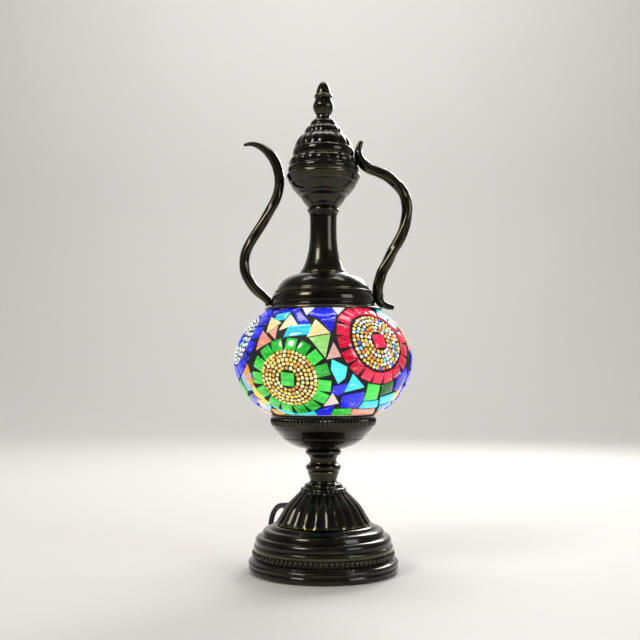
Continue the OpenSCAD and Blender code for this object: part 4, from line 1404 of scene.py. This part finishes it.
GLASS_TONES: dict[Glass, tuple[Colour, Colour, float]] = {
    Glass.GREEN: ((0.006, 0.3, 0.02), (0.07, 0.78, 0.09), 0.95),
    Glass.DARK_GREEN: ((0.001, 0.1, 0.01), (0.01, 0.34, 0.03), 0.8),
    Glass.RED: ((0.5, 0.003, 0.025), (0.95, 0.025, 0.1), 0.98),
    Glass.COBALT: ((0.004, 0.004, 0.32), (0.02, 0.026, 0.9), 0.98),
    Glass.CYAN: ((0.015, 0.45, 0.66), (0.08, 0.85, 1.0), 0.95),
    Glass.SKY: ((0.05, 0.34, 0.65), (0.24, 0.62, 0.95), 0.9),
    Glass.CREAM: ((0.85, 0.6, 0.22), (1.0, 0.88, 0.5), 0.9),
    Glass.WHITE: ((0.5, 0.7, 0.78), (0.95, 1.0, 1.0), 0.8),
    Glass.SALMON: ((0.6, 0.17, 0.11), (0.92, 0.4, 0.3), 0.9),
    Glass.PINK: ((0.68, 0.36, 0.3), (1.0, 0.8, 0.72), 0.85),
    Glass.LIME: ((0.25, 0.62, 0.14), (0.68, 0.98, 0.42), 0.9),
    Glass.ORANGE: ((0.72, 0.17, 0.01), (1.0, 0.4, 0.05), 0.95),
    Glass.YELLOW: ((0.82, 0.45, 0.01), (1.0, 0.76, 0.05), 0.95),
}


@dataclass(frozen=True)
class Oval:
    """The oval body of the globe, in millimetres about its middle."""

    half_width: float
    half_height: float
    middle: float

    def point(self, side: float, height: float) -> Vector:
        """The point that faces a side at a height.

        Args:
            side: degrees from the viewer's side (-Y) towards the handle (+X).
            height: height above the middle.

        Returns:
            The point on the oval, about its middle.
        """
        r = self.half_width * math.sqrt(max(0.0, 1 - (height / self.half_height) ** 2))
        a = math.radians(side - 90)
        return Vector((r * math.cos(a), r * math.sin(a), height))

    def on(self, place: Vector) -> Vector:
        """The oval's point on the line from its middle through a place."""
        k = math.sqrt(
            (place.x**2 + place.y**2) / self.half_width**2 + place.z**2 / self.half_height**2
        )
        return place / k

    def normal(self, place: Vector) -> Vector:
        """The way out of the oval at one of its points."""
        w, h = self.half_width**2, self.half_height**2
        return Vector((place.x / w, place.y / w, place.z / h)).normalized()


@dataclass(frozen=True)
class Rosette:
    """A round field of beads inside a ring of square tiles."""

    side: float
    height: float
    square: Glass
    beads: str
    ring_r: float
    count: int


# A cutting plan of the glass between the rosettes: colour, then corners as degrees from the
# front and millimetres above the globe's middle. It is laid three times round the globe.
PLAN: tuple[tuple[Glass, tuple[Point, ...]], ...] = (
    (Glass.COBALT, ((-55, 43), (-44, 43), (-42, 38), (-47, 37), (-50, 29), (-58, 36))),
    (Glass.CYAN, ((-42, 38), (-30, 40), (-31, 34), (-40, 33))),
    (Glass.COBALT, ((-40, 43), (-22, 43), (-27, 40.5), (-42, 40))),
    (Glass.COBALT, ((-27, 40), (-21, 41), (-14, 35), (-10, 30), (-18, 30))),
    (Glass.CREAM, ((-46, 36), (-33, 31), (-41, 23))),
    (Glass.CREAM, ((-28, 38), (-19, 29.5), (-31, 25))),
    (Glass.SALMON, ((-34, 28), (-32, 18), (-39, 23))),
    (Glass.SALMON, ((-47, 23), (-35, 18), (-46, 9))),
    (Glass.CYAN, ((-24, 28), (-9, 29), (-9.5, 21), (-26, 20))),
    (Glass.WHITE, ((-20, 43.5), (-9, 43.5), (-14, 37.5))),
    (Glass.COBALT, ((-12, 38), (-8, 43), (8, 43), (10.5, 37.5), (-1, 33.5))),
    (Glass.COBALT, ((-2, 32.5), (9.5, 36), (9, 28), (5, 22.5))),
    (Glass.WHITE, ((9, 43.5), (20, 43.5), (12, 38))),
    (Glass.CREAM, ((-6, 33), (4, 22), (-10.5, 19))),
    (Glass.LIME, ((-9, 18), (4, 20.5), (0, 3))),
    (Glass.PINK, ((6, 14), (11, 2), (0, 1))),
    (Glass.CYAN, ((5, 0.5), (14.5, -6.5), (13, -13.5), (9, -18), (1.5, -7))),
    (Glass.CYAN, ((18.5, -12.5), (27, -21), (14, -25))),
    (Glass.COBALT, ((4, -19.5), (15, -18), (13.5, -25), (9.5, -27.5), (4, -24))),
    (Glass.PINK, ((6, -26), (11, -34), (-1, -34.5))),
    (Glass.COBALT, ((13, -28), (28, -25), (30, -31), (28, -37.5), (14, -37.5))),
    (Glass.GREEN, ((30, -20.5), (39, -20), (42, -31), (31, -32))),
    (Glass.DARK_GREEN, ((41, -19.5), (50, -17), (54, -25), (44, -28))),
    (Glass.COBALT, ((53.5, -15), (61, -6), (68, -11), (65, -24), (56, -24))),
    (Glass.CYAN, ((32, -33.5), (45, -32.5), (50, -38), (31, -38.5))),
    (Glass.CYAN, ((46, -30), (60, -26.5), (66, -32), (51, -35.5))),
    (Glass.SKY, ((53, -37), (67, -33.5), (72, -37), (61, -42))),
    (Glass.GREEN, ((9, -39.5), (24, -39), (26, -44), (8, -44))),
    (Glass.SALMON, ((26, -39.5), (50, -39.5), (57, -44), (28, -44))),
    (Glass.COBALT, ((-8, -39), (7.5, -36), (6.5, -44), (-5, -44))),
    (Glass.CYAN, ((-27, -41), (-9, -41.5), (-7, -44), (-24, -44))),
    (Glass.CYAN, ((-46, -37), (-38, -38.5), (-28, -41), (-30, -44), (-38, -43))),
    (Glass.ORANGE, ((-55, -5), (-52, -16), (-56, -24), (-63, -12))),
    (Glass.YELLOW, ((-54, -18), (-46, -32), (-58, -28))),
    (Glass.CREAM, ((-60, -30), (-47, -34), (-52, -39), (-63, -36))),
    (Glass.ORANGE, ((-52, -40), (-41, -41), (-42, -44), (-54, -44))),
    (Glass.COBALT, ((-52, 22), (-49, 9), (-56, -4), (-63, 4), (-58, 14))),
)


@dataclass
class Mosaic:
    """The glass tiles, the beads and the grout on the globe, in millimetres."""

    finishes: Finishes = field(repr=False)
    tile_t: float = 2.0
    backing_t: float = 1.1
    square_w: float = 10.6
    tile_bevel: float = 0.3
    middle_over_rim: float = 46.2
    past_grout: float = 2.15
    bed_depth: float = 2.1
    bed_half_height: float = 56.9
    grout_depth: float = 1.0
    grout_half_height: float = 58.0
    bead_lift: float = 0.75
    bead_flat: float = 0.72
    laps: int = 3
    rosettes: tuple[Rosette, ...] = (
        Rosette(-23, -15, Glass.GREEN, "gold", 30.9, 15),
        Rosette(38, 16, Glass.RED, "mixed", 33.3, 17),
        Rosette(97, -15, Glass.COBALT, "clear", 30.9, 15),
        Rosette(158, 18, Glass.GREEN, "gold", 33.3, 17),
        Rosette(218, -15, Glass.RED, "mixed", 30.9, 15),
        Rosette(284, 19, Glass.COBALT, "clear", 31.5, 16),
    )
    tiles: dict[Glass, list[list[Vector]]] = field(
        default_factory=lambda: {colour: [] for colour in Glass}
    )

    def __post_init__(self) -> None:
        """Reads the globe's place from the frame."""
        self.rng = random.Random(11)
        low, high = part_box("grout_bed")
        self.rim = low[2] / MM
        self.flange = high[2] / MM
        middle = self.rim + self.middle_over_rim
        outer_r = (high[0] - low[0]) / 2 / MM + self.past_grout
        self.bed = Oval(outer_r - self.bed_depth, self.bed_half_height, middle)
        self.grout = Oval(outer_r - self.grout_depth, self.grout_half_height, middle)

    def basis(self, rosette: Rosette) -> tuple[Vector, Vector, Vector]:
        """The directions in which a rosette lies.

        Args:
            rosette: the rosette.

        Returns:
            Its middle on the bed, and the two directions across it.
        """
        centre = self.bed.point(rosette.side, rosette.height)
        out = self.bed.normal(centre)
        across = Vector((0, 0, 1)).cross(out).normalized()
        return centre, across, out.cross(across)

    def spot(self, rosette: Rosette, radius: float, turn: float) -> Vector:
        """A point of the bed by its distance and direction from a rosette's middle.

        Args:
            rosette: the rosette.
            radius: the distance along the bed.
            turn: the direction, as an angle in radians.

        Returns:
            The point, about the globe's middle.
        """
        centre, across, up = self.basis(rosette)
        reach = self.bed.half_width * math.tan(radius / self.bed.half_width)
        return self.bed.on(centre + (across * math.cos(turn) + up * math.sin(turn)) * reach)

    def held(self, corners: Sequence[Vector]) -> list[Vector]:
        """Cuts a tile back so that it stays between the bowl and the flange.

        Args:
            corners: the tile's corners on the bed.

        Returns:
            The corners that are left.
        """
        top = self.flange - self.bed.middle - 0.6
        bottom = self.rim - self.bed.middle + 1.2
        rows = []
        for corner in corners:
            if not bottom <= corner.z <= top:
                side = math.degrees(math.atan2(corner.y, corner.x)) + 90
                corner = self.bed.point(side, min(max(corner.z, bottom), top))
            rows.append(corner)
        return rows

    def lay_rosettes(self) -> None:
        """Lays the ring of squares and the middle square of each rosette."""
        for rosette in self.rosettes:
            count = rosette.count
            centre = self.bed.point(rosette.side, rosette.height)
            for i in range(count):
                turn = math.tau * (i + 0.5) / count
                jitter = self.rng.uniform(-0.02, 0.02)
                r0 = rosette.ring_r - self.square_w / 2 + self.rng.uniform(-0.3, 0.3)
                r1 = r0 + self.square_w + self.rng.uniform(-0.4, 0.2)
                half = self.square_w * 0.5 * self.rng.uniform(0.94, 1.04)
                rows = []
                for r, s in ((r0, -1), (r1, -1), (r1, 1), (r0, 1)):
                    a = turn + jitter + s * math.atan2(half * (0.97 if r == r0 else 1.0), r)
                    rows.append(self.spot(rosette, r, a))
                mid_z = sum(c.z for c in rows) / 4
                if mid_z > self.flange - self.bed.middle - 2 or mid_z < self.rim - self.bed.middle + 2:
                    continue
                self.tiles[rosette.square].append(self.held(rows))
            size = self.square_w * 0.53 * math.sqrt(2)
            lean = self.rng.uniform(-0.15, 0.15)
            middle = [self.spot(rosette, size, lean + math.tau * (k + 0.5) / 4) for k in range(4)]
            self.tiles[rosette.square].append(middle)
            log.info("rosette at %g degrees around %s", rosette.side, tuple(round(c) for c in centre))

    def clear_of_rosettes(self, corners: Sequence[Vector]) -> list[Vector]:
        """Cuts a tile back to the rings of squares.

        Args:
            corners: the tile's corners on the bed.

        Returns:
            The corners, moved off the rosettes, or nothing if the tile lies on one.
        """
        rows = list(corners)
        for rosette in self.rosettes:
            centre = self.bed.point(rosette.side, rosette.height)
            limit = rosette.ring_r + self.square_w / 2 + 1.3
            inside = [self.arc(centre, corner) < limit for corner in rows]
            if sum(inside) > len(rows) * 0.67:
                return []
            _, across, up = self.basis(rosette)
            for i, corner in enumerate(rows):
                if inside[i]:
                    way = corner - centre
                    rows[i] = self.spot(rosette, limit, math.atan2(way.dot(up), way.dot(across)))
        return rows

    def arc(self, a: Vector, b: Vector) -> float:
        """The distance from a to b along the bed, taken as a ball of its width."""
        return self.bed.half_width * a.angle(b)

    def grown(self, corners: Sequence[Vector], edge: float) -> list[Vector]:
        """Corners moved away from the tile's middle."""
        middle = sum(corners, Vector()) / len(corners)
        return [self.bed.on(c + (c - middle).normalized() * edge) for c in corners]

    def lay_plan(self) -> None:
        """Lays the cutting plan at the front and twice more behind."""
        swaps = {
            1: {Glass.COBALT: Glass.CYAN, Glass.CYAN: Glass.COBALT, Glass.CREAM: Glass.SALMON},
            2: {Glass.CYAN: Glass.COBALT, Glass.COBALT: Glass.SKY, Glass.PINK: Glass.CREAM},
        }
        for lap in range(self.laps):
            for colour, corners in PLAN:
                sides = [c[0] for c in corners]
                middle = sum(sides) / len(sides)
                if lap and not -54 < middle < 66:
                    continue
                tint = swaps.get(lap, {}).get(colour, colour)
                rows = [self.bed.point(side + 360 / self.laps * lap, height) for side, height in corners]
                rows = self.clear_of_rosettes(self.grown(rows, 0.5))
                if rows:
                    self.tiles[tint].append(self.held(rows))

    def add_sheet(
        self, name: str, plan: Sequence[Sequence[Vector]], thick: float
    ) -> bpy.types.Object:
        """Cuts all the tiles of one colour to the globe's curve and softens their edges.

        Args:
            name: the piece's name.
            plan: each tile's corners on the bed.
            thick: the thickness of the tiles in millimetres.

        Returns:
            The tiles as one piece.
        """
        deselect_all()
        bpy.ops.mesh.primitive_plane_add(size=0.001)
        piece = bpy.context.object
        piece.name = name
        bpy.ops.object.mode_set(mode="EDIT")
        bpy.ops.mesh.select_all(action="SELECT")
        bpy.ops.mesh.delete(type="VERT")
        work = bmesh.from_edit_mesh(piece.data)
        work.verts.layers.float.new("tone")
        bmesh.update_edit_mesh(piece.data)
        lift = Vector((0, 0, self.bed.middle))
        for corners in plan:
            bpy.ops.mesh.primitive_circle_add(vertices=len(corners), radius=0.005, fill_type="NGON")
            work = bmesh.from_edit_mesh(piece.data)
            work.verts.ensure_lookup_table()
            tone = work.verts.layers.float["tone"]
            fresh = list(work.verts)[-len(corners):]
            value = self.rng.random()
            for vert, place in zip(fresh, corners):
                vert.co = (place + lift) * MM
                vert[tone] = value
            bmesh.update_edit_mesh(piece.data)
        work = bmesh.from_edit_mesh(piece.data)
        work.normal_update()
        for face in work.faces:
            if face.normal.dot(face.calc_center_median() - lift * MM) < 0:
                face.normal_flip()
        bmesh.update_edit_mesh(piece.data)
        bpy.ops.mesh.select_all(action="SELECT")
        bpy.ops.mesh.quads_convert_to_tris(quad_method="BEAUTY", ngon_method="BEAUTY")
        bpy.ops.mesh.subdivide(number_cuts=2)
        work = bmesh.from_edit_mesh(piece.data)
        for vert in work.verts:
            vert.co = (self.bed.on(vert.co / MM - lift) + lift) * MM
        work.normal_update()
        bmesh.update_edit_mesh(piece.data)
        bpy.ops.mesh.extrude_region_shrink_fatten(TRANSFORM_OT_shrink_fatten={"value": thick * MM})
        bpy.ops.mesh.select_mode(type="EDGE")
        bpy.ops.mesh.region_to_loop()
        bpy.ops.mesh.bevel(offset=self.tile_bevel * MM, segments=2, affect="EDGES")
        done_editing()
        smooth(piece, 38)
        log.info("%s: %d tiles", piece.name, len(plan))
        return piece

    def build_backing(self) -> None:
        """The thin cobalt discs that show between the clear beads."""
        plan = [
            self.held([
                self.spot(r, r.ring_r - self.square_w / 2 - 0.8, math.tau * k / 40) for k in range(40)
            ])
            for r in self.rosettes
            if r.beads == "clear"
        ]
        piece = self.add_sheet("backing_cobalt", plan, self.backing_t)
        deep, light, glow = GLASS_TONES[Glass.COBALT]
        dress(piece, SheetGlass("glass_backing", deep, light, glow).make(), Body.ROOT, "blue_glass")

    def build_tiles(self) -> None:
        """Lays and cuts every tile."""
        self.lay_rosettes()
        self.lay_plan()
        replaced = {
            Glass.GREEN: ("green_glass", ("squares_green",)),
            Glass.RED: ("red_glass", ("squares_red",)),
            Glass.COBALT: ("blue_glass", ("squares_blue",)),
            Glass.CREAM: ("filler_glass", ("filler_tiles",)),
            Glass.CYAN: ("cyan_glass", ("edge_tiles",)),
        }
        slots = {
            Glass.DARK_GREEN: "green_glass", Glass.LIME: "green_glass", Glass.SKY: "cyan_glass",
            Glass.WHITE: "filler_glass", Glass.SALMON: "filler_glass", Glass.PINK: "filler_glass",
            Glass.ORANGE: "gold_beads", Glass.YELLOW: "gold_beads",
        }
        for colour, plan in self.tiles.items():
            if not plan:
                continue
            piece = self.add_sheet(f"tiles_{colour.value}", plan, self.tile_t)
            deep, light, glow = GLASS_TONES[colour]
            material = SheetGlass(f"glass_{colour.value}", deep, light, glow).make()
            slot, nodes = replaced.get(colour, (slots.get(colour, ""), ()))
            dress(piece, material, Body.ROOT, slot, *nodes)

    def build_beads(self) -> None:
        """Sets the beads ring by ring inside each rosette."""
        gold = (
            (0.0, (1.0, 0.64, 0.1)), (0.3, (1.0, 0.77, 0.22)), (0.62, (1.0, 0.86, 0.42)),
            (0.86, (0.72, 0.34, 0.04)),
        )
        mixed = (
            (0.0, (1.0, 0.62, 0.04)), (0.34, (0.95, 0.95, 0.9)), (0.6, (0.92, 0.26, 0.015)),
            (0.76, (1.0, 0.8, 0.3)), (0.88, (0.05, 0.1, 0.75)), (0.94, (0.2, 0.7, 0.92)),
        )
        clear = ((0.0, (0.9, 0.97, 1.0)), (0.45, (1.0, 1.0, 1.0)), (0.88, (0.35, 0.85, 0.95)))
        tones = {"gold": gold, "mixed": mixed, "clear": clear}
        deselect_all()
        bpy.ops.mesh.primitive_uv_sphere_add(segments=10, ring_count=6, radius=1)
        master = bpy.context.object
        bpy.ops.object.mode_set(mode="EDIT")
        bpy.ops.mesh.select_all(action="SELECT")
        bpy.ops.transform.rotate(value=math.pi / 2, orient_axis="Y", center_override=(0, 0, 0))
        done_editing()
        smooth(master, 180)
        for kind, stops in tones.items():
            parts = []
            for rosette in (r for r in self.rosettes if r.beads == kind):
                parts += self.ring_beads(master, rosette)
            piece = joined(parts, f"glass_beads_{kind}")
            material = BeadGlass(f"beads_{kind}", stops).make()
            dress(piece, material, Body.ROOT, f"{kind}_beads", f"beads_{kind}")
        remove(master)

    def ring_beads(self, master: bpy.types.Object, rosette: Rosette) -> list[bpy.types.Object]:
        """The beads of one rosette.

        Args:
            master: one modelled bead of radius 1, long along X.
            rosette: the rosette.

        Returns:
            The beads.
        """
        long, size = (1.7, 1.3) if rosette.beads == "clear" else (1.0, 1.72)
        gap, lane = (0.4, 0.75) if rosette.beads == "clear" else (0.12, 0.1)
        radius = self.square_w * 0.75 + size
        parts = []
        while radius < rosette.ring_r - self.square_w / 2 - size * 0.8:
            count = int(math.tau * radius / (2 * (size * long + gap)))
            start = self.rng.random()
            for i in range(count):
                turn = math.tau * (i + start + self.rng.uniform(-0.1, 0.1)) / count
                wobble = self.rng.uniform(-0.25, 0.25)
                place = self.spot(rosette, radius + wobble, turn)
                if not self.rim - self.bed.middle + 1 < place.z < self.flange - self.bed.middle - 1.4:
                    continue
                ahead = self.spot(rosette, radius + wobble, turn + 0.05)
                out = self.bed.normal(place)
                along = (ahead - place).normalized()
                k = self.rng.uniform(0.88, 1.06)
                turn_to = Matrix((along, out.cross(along), out)).transposed().to_4x4()
                centre = (place + out * self.bead_lift + Vector((0, 0, self.bed.middle))) * MM
                scale = Matrix.Diagonal(
                    (size * long * k * MM, size * k * MM, size * self.bead_flat * MM, 1)
                )
                parts.append(
                    copy_of(master, Matrix.Translation(centre) @ turn_to @ scale, self.rng.random())
                )
            radius += 2 * size + lane
        return parts

    def build_grout(self) -> None:
        """The dark grout that comes up between the tiles."""
        low, high = self.rim - self.bed.middle + 0.2, self.flange - self.bed.middle - 0.1
        outline = []
        for i in range(41):
            h = low + (high - low) * i / 40
            r = self.grout.half_width * math.sqrt(1 - (h / self.grout.half_height) ** 2)
            outline.append((r * MM, (self.bed.middle + h) * MM))
        inner = Oval(self.bed.half_width - 1.2, self.bed.half_height - 1.3, 0)
        for i in range(21):
            h = high + (low - high) * i / 20
            r = inner.half_width * math.sqrt(1 - (h / inner.half_height) ** 2)
            outline.append((r * MM, (self.bed.middle + h) * MM))
        outline.append(outline[0])
        piece = turned("grout_skin", outline, 120)
        smooth(piece, 40)
        dress(piece, self.finishes.grout, Body.ROOT, "grout", "grout_bed")

    def build(self) -> None:
        """Builds the grout, the tiles and the beads."""
        self.build_grout()
        self.build_tiles()
        self.build_backing()
        self.build_beads()


# ---------------------------------------------------------------- everything


def paint_frame(finishes: Finishes) -> None:
    """Gives each CAD node that stays its material.

    Args:
        finishes: the materials.
    """
    rows: dict[bpy.types.Material, Iterable[str]] = {
        finishes.felt: ("felt_pad",),
        finishes.strap: ("coil_tie",),
        finishes.board: ("base_cover",),
        finishes.zinc: ("clamp_plate", "bowl_washer", "top_rod", "top_nut", "rim_screws"),
        finishes.brass: (
            "base_nut", "stem_tube", "bowl_nut", "holder_screw_shell", "holder_contact",
            "terminal_screws", "cap_clips", "clip_rivets",
        ),
        finishes.phenolic: ("holder_cap", "holder_shell", "bulb_contact"),
        finishes.porcelain: ("holder_insert",),
        finishes.sleeve: ("inner_flex",),
        finishes.plaster: ("globe_bedding",),
        finishes.globe: ("globe_glass",),
        finishes.bulb: ("bulb_glass",),
        finishes.filament: ("bulb_filament",),
        finishes.nickel: ("bulb_cap", "plug_pins"),
        finishes.moulded: ("strain_relief", "switch_base", "switch_cover", "switch_rocker", "plug_body"),
    }
    for material, nodes in rows.items():
        for node in nodes:
            paint_node(node, material)


def main() -> None:
    """Builds the lamp in order, from the camera to the last bead."""
    studio = Studio()
    studio.build_camera()
    finishes = Finishes()
    on_cord = (
        "switch_base", "switch_cover", "switch_rocker", "plug_body", "plug_pins", "strain_relief",
        "coil_tie",
    )
    Cord().build(finishes, [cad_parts[node] for node in on_cord])
    paint_frame(finishes)
    MetalStack(finishes).build()
    RopeBar(
        "handle_rope", "handle", HANDLE_ROUTE, 5.15,
        lambda i, n: min(1.0, 0.42 + 0.19 * min(i, n - 1 - i)), 1, 3, 0.17, 110.0, finishes,
    ).build()
    RopeBar(
        "spout_pipe", "spout", SPOUT_ROUTE, 4.65,
        lambda i, n: min(1.0, 0.62 + 0.09 * (i + 1), 0.26 + 0.18 * (n - 1 - i)), -1, 3, 0.1, 110.0,
        finishes,
    ).build()
    Mosaic(finishes).build()
    studio.build_floor()
    studio.build_lights()


if __name__ == "__main__":
    main()
